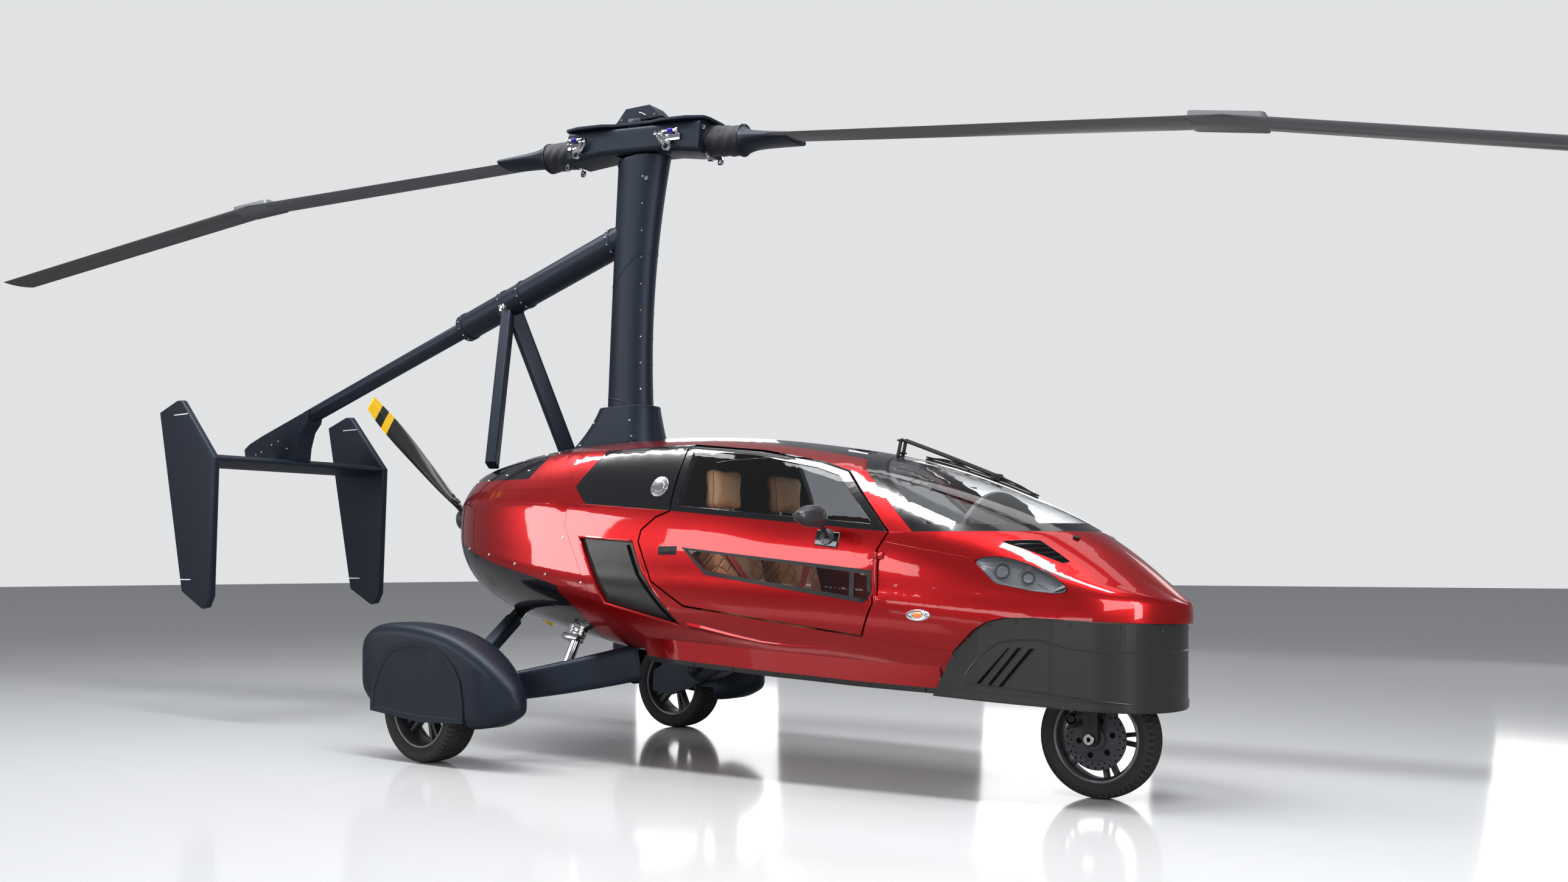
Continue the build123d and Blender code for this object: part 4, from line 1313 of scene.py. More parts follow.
            loft(bm, rings)
        self.add("sill_mouldings", bm, "red_paint", [RED, CARBON])
        self.add("sill_bolts", bolts, "black_paint", [SATIN_BLACK])

    def small_lights(self) -> None:
        """Builds the side indicators and the screen's washer nozzles."""
        nose = Skin("nose_shell")
        rims, lenses = bmesh.new(), bmesh.new()
        for side in SIDES:
            at, out = nose.flank(*self.indicator, side, -0.002)
            drum(rims, at, out, 0.0245, 0.0065, 0.022, 32, stretch=2.15, along=FORWARD, edge=0.0015)
            drum(rims, at + out * 0.0065, out, 0.010, 0.002, 0.008, 20, 1, 2.0, FORWARD)
            drum(lenses, at + out * 0.004, out, 0.0195, 0.006, 0.013, 32, stretch=2.3, along=FORWARD)
            spot, facing = nose.top(2.395, side * 0.171)
            block(rims, spot + facing * 0.004, (0.026, 0.018, 0.012), facing, FORWARD, 2, 0.004)
        self.add("indicator_rims", rims, "steel", [CHROME, AMBER, SATIN_BLACK])
        self.add("indicator_lenses", lenses, "lamp_glass", [LAMP_CLEAR])

    def roof_vent(self) -> None:
        """Builds the small framed vent in the roof's front edge, with a dark plate of painted shade for its
        opening.
        """
        roof = Skin("roof_shell", "windscreen")
        bm = bmesh.new()
        lines = []
        for x_half, y_half in ((0.050, 0.040), (0.040, 0.030)):
            corners = [(-1, -1), (1, -1), (1, 1), (-1, 1)]
            lines.append([roof.top(1.372 + x_half * i, -0.112 + y_half * j, 0.003)[0] for i, j in corners])
        strip(bm, *lines, UP, 0.004, True)
        # the vent's opening is a dark plate of painted shade
        plate(bm, [place - UP * 0.0022 for place in lines[1]], UP * -0.002, 1)
        self.add("roof_vent", bm, "steel", [CHROME, SHADOW])

    def deck(self) -> None:
        """Raises the ribs of the engine deck."""
        deck = Skin("engine_deck")
        bm = bmesh.new()
        for side in SIDES:
            foot = [(-0.74, 0.352), (-0.588, 0.398), (-0.44, 0.412), (-0.335, 0.405), (-0.300, 0.37),
                    (-0.262, 0.22), (-0.250, 0.10)]
            strand(bm, deck.plan(sampled(foot, 0.03), side, -0.002), 0.0048)
            for x in (-0.70, -0.62, -0.54, -0.46, -0.38):
                rib = [(x, 0.375 if x < -0.6 else 0.402), (x + 0.09, 0.25), (x + 0.12, 0.10)]
                strand(bm, deck.plan(sampled(rib, 0.03), side, -0.002), 0.0045)
        self.add("deck_ribs", bm, "black_gloss", [GLOSS_BLACK])

    def intakes(self) -> None:
        """Rolls the lips of the side intakes, and lays a dark strip of painted shade in the slot behind each
        front edge.
        """
        tub, panel = Skin("tub"), Skin("side_intakes")
        bm = bmesh.new()
        for side in SIDES:
            strand(bm, tub.line(widened(self.intake, 0.004), side, CREASE_LIFT, 0.03, True), 0.0060, True)
        self.add("intake_lips", bm, "red_paint", [RED])
        bm = bmesh.new()
        for side in SIDES:
            # a flat dark strip of painted shade stands in for the slot behind the panel's front edge
            edge = sampled([(0.425, 1.015), (0.487, 0.885), (0.625, 0.725), (0.672, 0.675)], 0.02)
            lines = [[panel.flank(x - shift, z, side, SHADE_STRIP_LIFT)[0] for x, z in edge]
                     for shift in (0.012, 0.034)]
            strip(bm, *lines, ACROSS * side, 0.002)
        self.add("intake_slot_shade", bm, "carbon", [SHADOW])

    def filler_cap(self) -> None:
        """Builds the round cap on the right aft panel."""
        at, out = Skin("aft_side_panels").flank(0.544, 1.275, RIGHT)
        bm = bmesh.new()
        drum(bm, at - out * 0.001, out, 0.050, 0.0045, 0.048, 48, edge=0.0008)
        drum(bm, at + out * 0.003, out, 0.030, 0.003, 0.028, 40, edge=0.0008)
        for way in spokes(out, 10):
            screw(bm, at + way * 0.039 + out * 0.0035, out, 0.0032)
        self.add("filler_cap", bm, "steel", [STEEL])

    def hood_vents(self) -> None:
        """Builds the slatted vents in the hood, with painted shade filling the openings between the slats."""
        nose = Skin("nose_shell")
        bm = bmesh.new()
        for side in SIDES:
            a, b, c, d = self.vent
            rows = []
            for row in range(11):
                start, end = between(a, d, row / 10), between(b, c, row / 10)
                places = [between(start, end, i / 8) for i in range(9)]
                rows.append(nose.plan(places, side, 0.0012))
            # each strip between two rows is painted shade filling the vent's openings
            for first, second in zip(rows, rows[1:]):
                strip(bm, first, second, UP, 0.002, False, 1)
            strand(bm, nose.plan(sampled(self.vent, 0.02, True), side), 0.0032, True)
            for row in rows[2:-1:2]:
                strand(bm, row, 0.0040)
        self.add("hood_vents", bm, "black_gloss", [GLOSS_BLACK, SHADOW])


@dataclass
class Skirt(Assembly):
    """Woven skirt round the front wheel."""

    body: str = "airframe"
    hub: Pair = (2.30, 0.0)       # rays towards it find the skirt's outside
    upper: tuple[Point, ...] = (
        (2.058, -0.446, 0.498), (2.079, -0.444, 0.531), (2.135, -0.43, 0.586), (2.189, -0.42, 0.625),
        (2.248, -0.41, 0.638), (2.338, -0.390, 0.640), (2.471, -0.368, 0.608), (2.607, -0.300, 0.597),
        (2.71, -0.17, 0.595), (2.752, 0.0, 0.595))
    lower: tuple[Point, ...] = (
        (2.058, -0.446, 0.470), (2.207, -0.42, 0.455), (2.37, -0.382, 0.440), (2.511, -0.355, 0.423),
        (2.64, -0.27, 0.405), (2.72, -0.15, 0.397), (2.752, 0.0, 0.394))
    lip: tuple[Point, ...] = (
        (1.935, -0.458, 0.413), (2.11, -0.44, 0.403), (2.27, -0.408, 0.394), (2.37, -0.382, 0.388),
        (2.56, -0.331, 0.377), (2.70, -0.191, 0.369), (2.752, 0.0, 0.366))
    louvres: tuple[Line, ...] = (      # corners as (x, z)
        ((2.101, 0.466), (2.121, 0.463), (2.236, 0.608), (2.226, 0.608)),
        ((2.146, 0.462), (2.165, 0.461), (2.281, 0.609), (2.262, 0.609)),
        ((2.189, 0.459), (2.208, 0.458), (2.327, 0.607), (2.308, 0.607)))
    bolts: Line = (                    # (x, z)
        (1.95, 0.485), (2.015, 0.570), (2.073, 0.640), (2.155, 0.693), (2.256, 0.708), (2.461, 0.700),
        (2.629, 0.688), (2.725, 0.677))

    def build(self) -> None:
        """Dresses the skirt."""
        self.polish("nose_skirt", "carbon", CARBON)
        self.skin = Skin("nose_skirt")
        bm = bmesh.new()
        for line in (self.upper, self.lower):
            strand(bm, self.around(line, -0.0022), 0.0045)
        lines = [[place + UP * rise for place in self.around(self.lip, 0.0035)] for rise in (0.004, 0.030)]
        strip(bm, *lines, FORWARD, 0.006)
        self.add("skirt_lines", bm, "carbon", [CARBON])
        bm = bmesh.new()
        for side in SIDES:
            for x, z in self.bolts:
                screw(bm, *self.skin.flank(x, z, side), radius=0.0070)
        self.add("skirt_bolts", bm, "steel", [SATIN_GREY])
        bm = bmesh.new()
        for side in SIDES:
            # each louvre's slot is a flat strip of painted shade, edged in front by a carbon bar
            for a, b, c, d in self.louvres:
                rear, front = [[self.skin.flank(*between(low, high, i / 5), side, SHADE_STRIP_LIFT)[0]
                                for i in range(6)] for low, high in ((a, d), (b, c))]
                strip(bm, rear, front, ACROSS * side, 0.002)
                strand(bm, front, 0.0022, number=1)
        self.add("skirt_louvres", bm, "carbon", [SHADOW, CARBON])

    def around(self, right: Sequence[Point], lift: float) -> list[Vector]:
        """Carries a line of the right side over to the left along the skirt's face.

        Args:
            right: points of the right half, from the rear to the front.
            lift: how far the line stands off the face.

        Returns:
            The whole line.
        """
        corners = [Vector(p) for p in right]
        corners += [Vector((p.x, -p.y, p.z)) for p in corners[-2::-1]]
        line = []
        for a, b in zip(corners, corners[1:]):
            count = max(1, math.ceil((b - a).length / 0.025))
            for i in range(count):
                point = a.lerp(b, i / count)
                inward = Vector((self.hub[0] - point.x, self.hub[1] - point.y, 0.0)).normalized()
                line.append(self.skin.hit(point - inward * 0.25, inward, lift)[0])
        return line


@dataclass
class Wiper(Assembly):
    """Single wiper over the middle of the windscreen."""

    body: str = "airframe"
    foot: Pair = (1.492, 1.376)       # (x, z) of the bracket's foot, its top and the blade's clamp
    crest: Pair = (1.508, 1.470)
    clamp: Pair = (1.966, 1.292)
    blade: Pair = (1.620, 2.146)
    arm_half: float = 0.020

    def build(self) -> None:
        """Builds the bracket, the two arms and the blade."""
        screen = Skin("windscreen", "nose_shell", "roof_shell")
        bm = bmesh.new()
        for y in (-self.arm_half, self.arm_half):
            foot, crest, clamp = (Vector((x, y, z)) for x, z in (self.foot, self.crest, self.clamp))
            foot = screen.top(foot.x, y, -0.004)[0]
            upright = crest - foot
            block(bm, (foot + crest) / 2, (0.014, 0.010, upright.length), upright, FORWARD, 0, 0.002)
            strand(bm, [crest, crest.lerp(clamp, 0.5) + UP * 0.004, clamp], 0.0065, smooth=True)
        middle = Vector(((self.foot[0] + self.crest[0]) / 2, 0.0, self.foot[1] + 0.036))
        for rise in (0.0, 0.055):
            block(bm, middle + UP * rise, (0.020, 0.052, 0.008), UP, FORWARD, 0, 0.002)
        clamp = Vector((self.clamp[0], 0.0, self.clamp[1] - 0.006))
        block(bm, clamp, (0.046, 0.052, 0.018), Vector((0.3, 0.0, 1.0)), FORWARD, 0, 0.004)
        drum(bm, clamp + Vector((0.0, -0.030, 0.008)), ACROSS, 0.010, 0.060)
        start, end = self.blade
        stations = [start + (end - start) * i / 16 for i in range(17)]
        strand(bm, [screen.top(x, 0.0, 0.007)[0] for x in stations], 0.0045)
        strand(bm, [screen.top(x, 0.0, 0.017)[0] for x in stations], 0.0035)
        for low, high, rise in ((0.02, 0.98, 0.034), (0.05, 0.40, 0.026), (0.60, 0.95, 0.026)):
            inset = (high - low) * 0.25
            bow = [(low, 0.014), (low + inset, rise), (high - inset, rise), (high, 0.014)]
            strand(bm, [screen.top(start + (end - start) * share, 0.0, lift)[0] for share, lift in bow],
                   0.0040, smooth=True)
        self.add("wiper", bm, "black_paint", [SATIN_BLACK])


@dataclass
class Door(Assembly):
    """One side door with its panes and mirror."""

    side: int = RIGHT
    lower_window: Line = (
        (0.752, 0.994), (1.672, 0.893), (1.676, 0.782), (0.874, 0.894))
    divider: float = 1.598
    handle: Pair = (0.6535, 0.988)
    mirror_foot: Pair = (1.470, 1.030)
    mirror_head: Point = (1.500, 0.680, 1.117)

    def __post_init__(self) -> None:
        """Takes the body's name from the side."""
        self.tail = SIDES[self.side]
        self.body = f"door_{self.tail}"

    def build(self) -> None:
        """Dresses the door."""
        self.polish(f"door_{self.tail}", "red_paint", RED, GLOSS_BLACK, cut=self.cut_belt, bevel=0.002)
        self.polish(f"door_panes_{self.tail}", "dark_glass", CLEAR, bevel=0.0)
        self.polish(f"mirror_{self.tail}", "black_gloss", SATIN_GREY, sharp=50.0)
        skin = Skin(f"door_{self.tail}", f"door_panes_{self.tail}")
        bm = bmesh.new()
        skin.frame(bm, self.lower_window, self.side, 0.006, 0.012, 0.0012)
        lines = [[skin.flank(self.divider + shift, z, self.side, 0.0014)[0]
                  for _, z in sampled([(0.0, 0.896), (0.0, 0.798)], 0.02)] for shift in (-0.011, 0.011)]
        strip(bm, *lines, ACROSS * self.side, 0.0022)
        at, out = skin.flank(*self.handle, self.side)
        block(bm, at - out * 0.001, (0.106, 0.038, 0.006), out, FORWARD, 0, 0.004)
        block(bm, at + out * 0.0015, (0.060, 0.022, 0.005), out, FORWARD, 0, 0.002)
        self.add(f"door_trim_{self.tail}", bm, "black_gloss", [SATIN_BLACK])
        self.mirror(skin)

    def mirror(self, skin: Skin) -> None:
        """Builds the mirror's base plate, glass and the bright edge of its shell.

        Args:
            skin: the door's surface.
        """
        at, out = skin.flank(*self.mirror_foot, self.side)
        bm = bmesh.new()
        block(bm, at, (0.112, 0.066, 0.012), out, Vector((1.0, 0.0, -0.12)), 0, 0.005, 3)
        head = Vector((self.mirror_head[0], self.side * self.mirror_head[1], self.mirror_head[2]))
        self.add(f"mirror_plate_{self.tail}", bm, "black_gloss", [GLOSS_BLACK])
        bm = bmesh.new()
        aft = Vector((-1.0, -self.side * 0.21, 0.0)).normalized()
        drum(bm, head + aft * 0.034 + Vector((0.0, self.side * 0.004, 0.0)), aft, 0.030, 0.012, 0.029, 40,
             stretch=2.0, along=ACROSS, edge=0.001)
        self.add(f"mirror_glass_{self.tail}", bm, "steel", [CHROME])

    def cut_belt(self, bm: Mesh) -> None:
        """Parts the black window frame from the red door."""
        slice_side(bm, BELT_REAR, BELT_FRONT)
        paint(bm, 1, lambda p: above(p, BELT_REAR, BELT_FRONT))


def swell(bm: Mesh, voxel: float, limit: float) -> Mesh:
    """Puffs a closed shape up as cloth under pressure.

    Args:
        bm: the shape; it is freed.
        voxel: size of the even mesh that it is cut into.
        limit: the most that a point may move.

    Returns:
        The puffed shape.
    """
    pad = stood(bm)
    even = pad.modifiers.new("even", "REMESH")
    even.mode = "VOXEL"
    even.voxel_size = voxel
    start = applied(pad)
    pad.modifiers.clear()
    pad.data = start
    out = bmesh.new()
    cloth = pad.modifiers.new("cloth", "CLOTH")
    cloth.settings.use_pressure = True
    cloth.settings.uniform_pressure_force = PAD_PRESSURE
    cloth.settings.effector_weights.gravity = 0.0
    for number in range(1, PAD_FRAMES + 1):
        bpy.context.scene.frame_set(number)
    puffed = applied(pad)
    for vertex, old in zip(puffed.vertices, start.vertices):
        move = vertex.co - old.co
        if move.length > limit:
            vertex.co = old.co + move * (limit / move.length)
    out.from_mesh(puffed)
    bpy.context.scene.frame_set(1)
    bpy.data.objects.remove(pad)
    for _ in range(2):
        bmesh.ops.smooth_vert(out, verts=out.verts, factor=0.5, use_axis_x=True, use_axis_y=True,
                              use_axis_z=True)
    return out


def seam(bm: Mesh, pad: BVHTree, centre: Vector, out: Vector, radius: float, number: int) -> None:
    """Runs a sewn seam round a pad.

    Args:
        bm: the mesh that gets the seam.
        pad: the pad's surface.
        centre: a point inside the pad, in the seam's plane.
        out: normal of that plane.
        radius: of the seam.
        number: material number.
    """
    line = [pad.ray_cast(centre + way, -way)[0] for way in spokes(out, 72)]
    strand(bm, [place for place in line if place is not None], radius, True, number)


@dataclass
class Cabin(Assembly):
    """What shows through the glazing."""

    body: str = "airframe"
    seat_y: float = 0.228
    rest_at: Point = (0.690, 0.228, 1.268)
    rest_size: Point = (0.066, 0.214, 0.176)
    back_line: Line = (      # side views of the seat's two cushions, as (x, z)
        (0.668, 0.905), (0.700, 0.720), (0.838, 0.728), (0.735, 1.110), (0.672, 1.118))
    squab_line: Line = (
        (0.730, 0.652), (1.172, 0.652), (1.214, 0.700), (1.180, 0.730), (0.850, 0.712), (0.730, 0.712))
    cushion_half: float = 0.180
    panel_half: float = 0.052                 # half width of the quilted middle
    wheel_at: Point = (1.410, 0.228, 1.040)

    def build(self) -> None:
        """Dresses the cabin."""
        for node in ("bulkheads", "seat_plinth", "dashboard"):
            self.polish(node, "cabin_trim", TRIM)
        self.polish("steering_wheel", "cabin_trim", TRIM, BROWN, cut=self.cut_wheel)
        for node in ("engine", "prop_gearbox"):
            self.polish(node, "engine_metal", DARK_ALLOY)
        for side in SIDES:
            self.headrest(side)
            self.seat(side)
            self.belt(side)
        self.fittings()

    def cut_wheel(self, bm: Mesh) -> None:
        """Parts the wheel's leather ring from its spokes."""
        centre = Vector(self.wheel_at)
        paint(bm, 1, lambda p: (p - centre).length > 0.122 and p.x < 1.50)

    def headrest(self, side: int) -> None:
        """Builds one padded headrest on its two posts.

        Args:
            side: which seat.
        """
        at = Vector((self.rest_at[0], side * self.rest_at[1], self.rest_at[2]))
        bm = bmesh.new()
        block(bm, at, self.rest_size, edge=0.026, segments=4)
        bm = swell(bm, 0.0055, 0.008)
        pad = BVHTree.FromBMesh(bm)
        seam(bm, pad, at + FORWARD * 0.020, FORWARD, 0.0022, 1)
        for y in (-0.055, 0.055):
            strand(bm, [at + Vector((0.010, y, -0.076)), at + Vector((0.010, y, -0.150))], 0.0065, number=2)
        piece = self.add(f"headrest_{SIDES[side]}", bm, "tan_leather", [TAN, TAN_SEAM, CHROME],
                         ["headrests"] if side == RIGHT else [])

    def seat(self, side: int) -> None:
        """Builds one seat's back and squab.

        Args:
            side: which seat.
        """
        for name, line, stands_for in (("back", self.back_line, ["seats"]), ("squab", self.squab_line, [])):
            low = side * self.seat_y - self.cushion_half
            bm = bmesh.new()
            plate(bm, [Vector((x, low, z)) for x, z in line], ACROSS * 2 * self.cushion_half, edge=0.018)
            bm = swell(bm, 0.010, 0.010)
            paint(bm, 1, lambda p: abs(p.y - side * self.seat_y) < self.panel_half)
            piece = self.add(f"seat_{name}_{SIDES[side]}", bm, "tan_leather", [QUILTED, TAN],
                             stands_for if side == RIGHT else [])

    def belt(self, side: int) -> None:
        """Lays one seat's red shoulder webbing with its buckle.

        Args:
            side: which seat.
        """
        skin = Skin("seats")
        outer, inner = side * (self.seat_y + 0.105), side * (self.seat_y - 0.120)
        bm = bmesh.new()
        shoulder = [Vector(place) for place in ((0.985, outer, 1.125), (0.90, outer, 1.0),
                                                (0.88, side * self.seat_y, 0.86), (0.90, inner, 0.76))]
        lines = [[skin.hit(a.lerp(b, i / 6) + ACROSS * shift, -FORWARD, 0.010)[0]
                  for a, b in zip(shoulder, shoulder[1:]) for i in range(6)] for shift in (-0.023, 0.023)]
        strip(bm, *lines, FORWARD, 0.0018)
        buckle = Vector((0.895, inner, 0.755))
        block(bm, buckle, (0.022, 0.055, 0.080), Vector((-0.4, 0.0, 1.0)), FORWARD, 1, 0.005)
        self.add(f"belt_{SIDES[side]}", bm, "red_paint", [RED_WEB, SATIN_BLACK])

    def fittings(self) -> None:
        """Builds the dash's hoods, screens and switches, and the hoops behind the seats."""
        bm = bmesh.new()
        block(bm, Vector((1.640, 0.228, 1.056)), (0.150, 0.300, 0.060), UP, FORWARD, 0, 0.022, 4)
        block(bm, Vector((1.640, -0.130, 1.050)), (0.130, 0.260, 0.046), UP, FORWARD, 0, 0.018, 4)
        drum(bm, Vector((1.955, 0.17, 1.02)), UP, 0.055, 0.050, 0.030, 32, edge=0.012)
        for y in (0.150, 0.228, 0.306):
            drum(bm, Vector((1.567, y, 1.052)), -FORWARD, 0.030, 0.006, 0.028, 32, 1)
        block(bm, Vector((1.575, -0.130, 1.044)), (0.004, 0.200, 0.050), UP, FORWARD, 1, 0.001)
        for x, y, z in ((1.30, 0.0, 0.64), (1.42, 0.0, 0.66)):
            block(bm, Vector((x, y, z)), (0.100, 0.120, 0.040), UP, FORWARD, 0, 0.010)
        self.add("dash_hoods", bm, "cabin_trim", [TRIM, SHADOW])


@dataclass
class Airframe(Assembly):
    """Mast, boom, struts and rear gear."""

    body: str = "airframe"
    boom_front: Point = (-0.160, 0.0, 2.568)
    boom_slope: float = 0.2803
    boom_radius: float = 0.077
    # Stations and widths of the boom's collars.
    collars: Line = ((-1.308, 0.040), (-0.990, 0.044), (-0.850, 0.022), (-0.196, 0.030))
    strut_joint: Point = (-0.969, 0.0, 2.310)
    pod_side: float = 1.0
    pod_band: float = 0.028
    pod_round: float = 0.060
    pod_sections: tuple[tuple[float, ...], ...] = (      # station; outer and inner side; bottom and top
        (-1.000, 0.930, 0.830, 0.360, 0.500), (-0.930, 0.985, 0.790, 0.290, 0.600),
        (-0.800, 0.996, 0.7754, 0.222, 0.648), (-0.550, 0.996, 0.7754, 0.192, 0.645),
        (-0.300, 0.996, 0.7754, 0.174, 0.600), (-0.100, 0.985, 0.790, 0.190, 0.505),
        (0.030, 0.940, 0.830, 0.235, 0.390), (0.066, 0.900, 0.865, 0.270, 0.320))
    pod_plate: Line = (
        (-0.860, 0.232), (-0.860, 0.340), (-0.823, 0.420), (-0.776, 0.490), (-0.715, 0.538), (-0.610, 0.572),
        (-0.495, 0.576), (-0.400, 0.560), (-0.325, 0.518), (-0.262, 0.462), (-0.221, 0.398), (-0.203, 0.300),
        (-0.200, 0.208), (-0.500, 0.197))
    pod_screws: Line = (
        (-0.805, 0.380), (-0.738, 0.493), (-0.560, 0.560), (-0.330, 0.500), (-0.250, 0.395), (-0.214, 0.240))

    def build(self) -> None:
        """Dresses the dark structure."""
        for node in ("mast", "mast_foot", "boom_outer", "boom_struts", "rear_arms"):
            self.polish(node, "blue_black", BLUE_BLACK, bevel=0.002)
        self.polish("braces", "blue_black", GLOSS_BLACK, bevel=0.002)
        self.pods()
        self.polish("dampers", "steel", CHROME)
        self.polish("steering_head", "steel", SATIN_GREY)
        self.mast()
        self.boom()
        self.gear()

    def pods(self) -> None:
        """Builds the hollow wheel pods with the plate on each outer side."""
        bm = bmesh.new()
        for side in SIDES:
            self.pod_shell(bm, side)
            outline = [Vector((x, side * self.pod_side, z)) for x, z in self.pod_plate]
            before = set(bm.faces)
            plate(bm, outline, Vector((0.0, -side * 0.007, 0.0)))
            flat = [face for face in bm.faces if face not in before and face.normal.y * side > 0.9]
            bmesh.ops.inset_region(bm, faces=flat, thickness=self.pod_band)
            bmesh.ops.inset_region(bm, faces=flat, thickness=0.004)
            bmesh.ops.translate(bm, verts=corners_of(flat),
                                vec=(0.0, -side * 0.0035, 0.0))
        self.add("pods_shaped", bm, "blue_black", [BLUE_BLACK], ["pods"], bevel=0.0015)

    def pod_shell(self, bm: Mesh, side: int) -> None:
        """Adds one pod's skin, open under the wheel and on its inner side.

        Args:
            bm: the mesh.
            side: which side of the aircraft.
        """
        rings = []
        for x, outer, inner, low, high in eased(self.pod_sections, 4):
            half_y, half_z = (outer - inner) / 2, (high - low) / 2
            corner = min(self.pod_round, 0.9 * half_y, 0.9 * half_z)
            rings.append([Vector((x, side * (outer + inner) / 2 + u, (high + low) / 2 + v))
                          for u, v in rounded(half_y, half_z, corner)])
        shell = bmesh.new()
        loft(shell, rings)
        rear, front, web = -0.835, -0.196, -0.300                  # stations of the openings' ends
        mouth_top, hole_top, wall, inside = 0.250, 0.440, 0.990, 0.800
        for axis, cuts in ((FORWARD, (rear, front, web)), (UP, (mouth_top, hole_top)),
                           (ACROSS, (side * wall, side * inside))):
            for cut in cuts:
                slice_mesh(shell, axis * cut, axis)

        def opened(p: Vector) -> bool:
            """Whether a point lies in the mouth under the wheel or in the hole on the inner side."""
            mouth = rear < p.x < front and p.z < mouth_top and abs(p.y) < wall
            return mouth or (rear < p.x < web and p.z < hole_top and abs(p.y) < inside)

        gone = [face for face in shell.faces if opened(face.calc_center_median())]
        bmesh.ops.delete(shell, geom=gone, context="FACES")
        bmesh.ops.solidify(shell, geom=list(shell.faces), thickness=0.009)
        join(bm, shell)

    def mast(self) -> None:
        """Adds the mast's joint lines, screws and steps."""
        skin = Skin("mast", "mast_foot")
        lines, screws = bmesh.new(), bmesh.new()
        for low, rise in ((2.400, 0.16), (1.735, -0.06)):
            ring = [skin.hit(Vector((-0.06, 0.0, low + rise * out.x / 2)) + out, -out, -0.001)[0]
                    for out in spokes(UP, 60, 0.0, FORWARD)]
            strand(lines, ring, 0.0030, True)
        for side in SIDES:
            out = Vector((0.80, side * 0.60, 0.0))
            for i in range(9):
                screw(screws, *skin.hit(Vector((-0.05, 0.0, 1.80 + 0.13 * i)) + out, -out), radius=0.0055)
            for x, z, radius in ((0.074, 2.83, 0.012), (-0.40, 1.50, 0.0065), (-0.32, 1.53, 0.0065),
                                 (0.02, 1.56, 0.0065), (0.00, 1.64, 0.0065), (-0.25, 1.64, 0.0065)):
                screw(screws, *skin.hit(Vector((x, side * 1.0, z)), ACROSS * -side), radius=radius)
        self.add("mast_lines", lines, "blue_black", [BLUE_BLACK])
        self.add("mast_screws", screws, "steel", [STEEL])

    def boom(self) -> None:
        """Adds the boom's collars with their screws, and the lugs and bolts where the struts meet it."""
        bm, bands, lugs = bmesh.new(), bmesh.new(), bmesh.new()
        along = Vector((1.0, 0.0, self.boom_slope)).normalized()
        for x, width in self.collars:
            centre = Vector((x, 0.0, self.boom_front[2] + self.boom_slope * (x - self.boom_front[0])))
            half, radius = width / 2, self.boom_radius
            lathe(bands, [(-half, 0.070), (-half, radius - 0.002), (-half + 0.002, radius),
                          (half - 0.002, radius), (half, radius - 0.002), (half, 0.070)], centre, along, 64)
            for way in spokes(along, 12, 15.0):
                screw(bm, centre + way * radius, way, 0.0050)
        joint = Vector(self.strut_joint)
        for side in SIDES:
            out = ACROSS * side
            drum(bm, joint + out * 0.056, out, 0.026, 0.014, 0.024, 6)
            drum(bm, joint + out * 0.070, out, 0.015, 0.006, edge=0.002)
            block(lugs, joint + out * 0.058 + UP * 0.004, (0.070, 0.018, 0.100), UP, FORWARD, 0, 0.006)
        self.add("boom_screws", bm, "steel", [STEEL])
        self.add("boom_collars", bands, "blue_black", [BLUE_BLACK])
        self.add("strut_lugs", lugs, "black_paint", [SATIN_BLACK])

    def gear(self) -> None:
        """Adds the twin cylinders of the dampers, the braces' sleeves, pod screws and knuckles."""
        metal, dark = bmesh.new(), bmesh.new()
        for side in SIDES:
            top, neck, foot = (Vector((x, side * y, z)) for x, y, z in (
                (0.0, 0.380, 0.745), (-0.020, 0.450, 0.590), (-0.040, 0.520, 0.425)))
            shift = Vector((-0.056, side * 0.006, 0.0))
            strand(metal, [top + shift, neck + shift * 0.9], 0.0185)
            along = (top - foot).normalized()
            for share, radius in ((0.0, 0.037), (0.12, 0.035), (0.86, 0.036)):
                drum(metal, neck.lerp(top, share), along, radius, 0.014, edge=0.002)
            block(metal, neck - along * 0.012 + shift * 0.45, (0.105, 0.060, 0.030), along, FORWARD, 0, 0.008)
            drum(metal, foot + Vector((0.0, -0.030, 0.010)), ACROSS, 0.022, 0.060, edge=0.002)
            low, high = Vector((-0.470, side * 0.758, 0.400)), Vector((-0.640, side * 0.230, 0.690))
            along = high - low
            across = along.cross(UP)
            block(dark, low + along * 0.62, (0.074, 0.060, along.length * 0.50), along, across, 0, 0.012, 3)
            block(dark, low + along * 0.36, (0.080, 0.066, 0.020), along, across, 0, 0.008)
            for x, z in self.pod_screws:
                screw(dark, Vector((x, side * (self.pod_side - 0.0035), z)), ACROSS * side, 0.0075)
            knuckle = Vector((-0.275, side * 0.722, 0.345))
            made = bmesh.ops.create_uvsphere(dark, u_segments=24, v_segments=14, radius=0.044,
                                             matrix=Matrix.Translation(knuckle))
            for vertex in made["verts"]:
                for face in vertex.link_faces:
                    face.smooth = True
            strand(dark, [knuckle, knuckle + Vector((0.12, -side * 0.11, 0.03))], 0.022)
        self.add("damper_fittings", metal, "steel", [STEEL])
        self.add("gear_fittings", dark, "blue_black", [BLUE_BLACK])


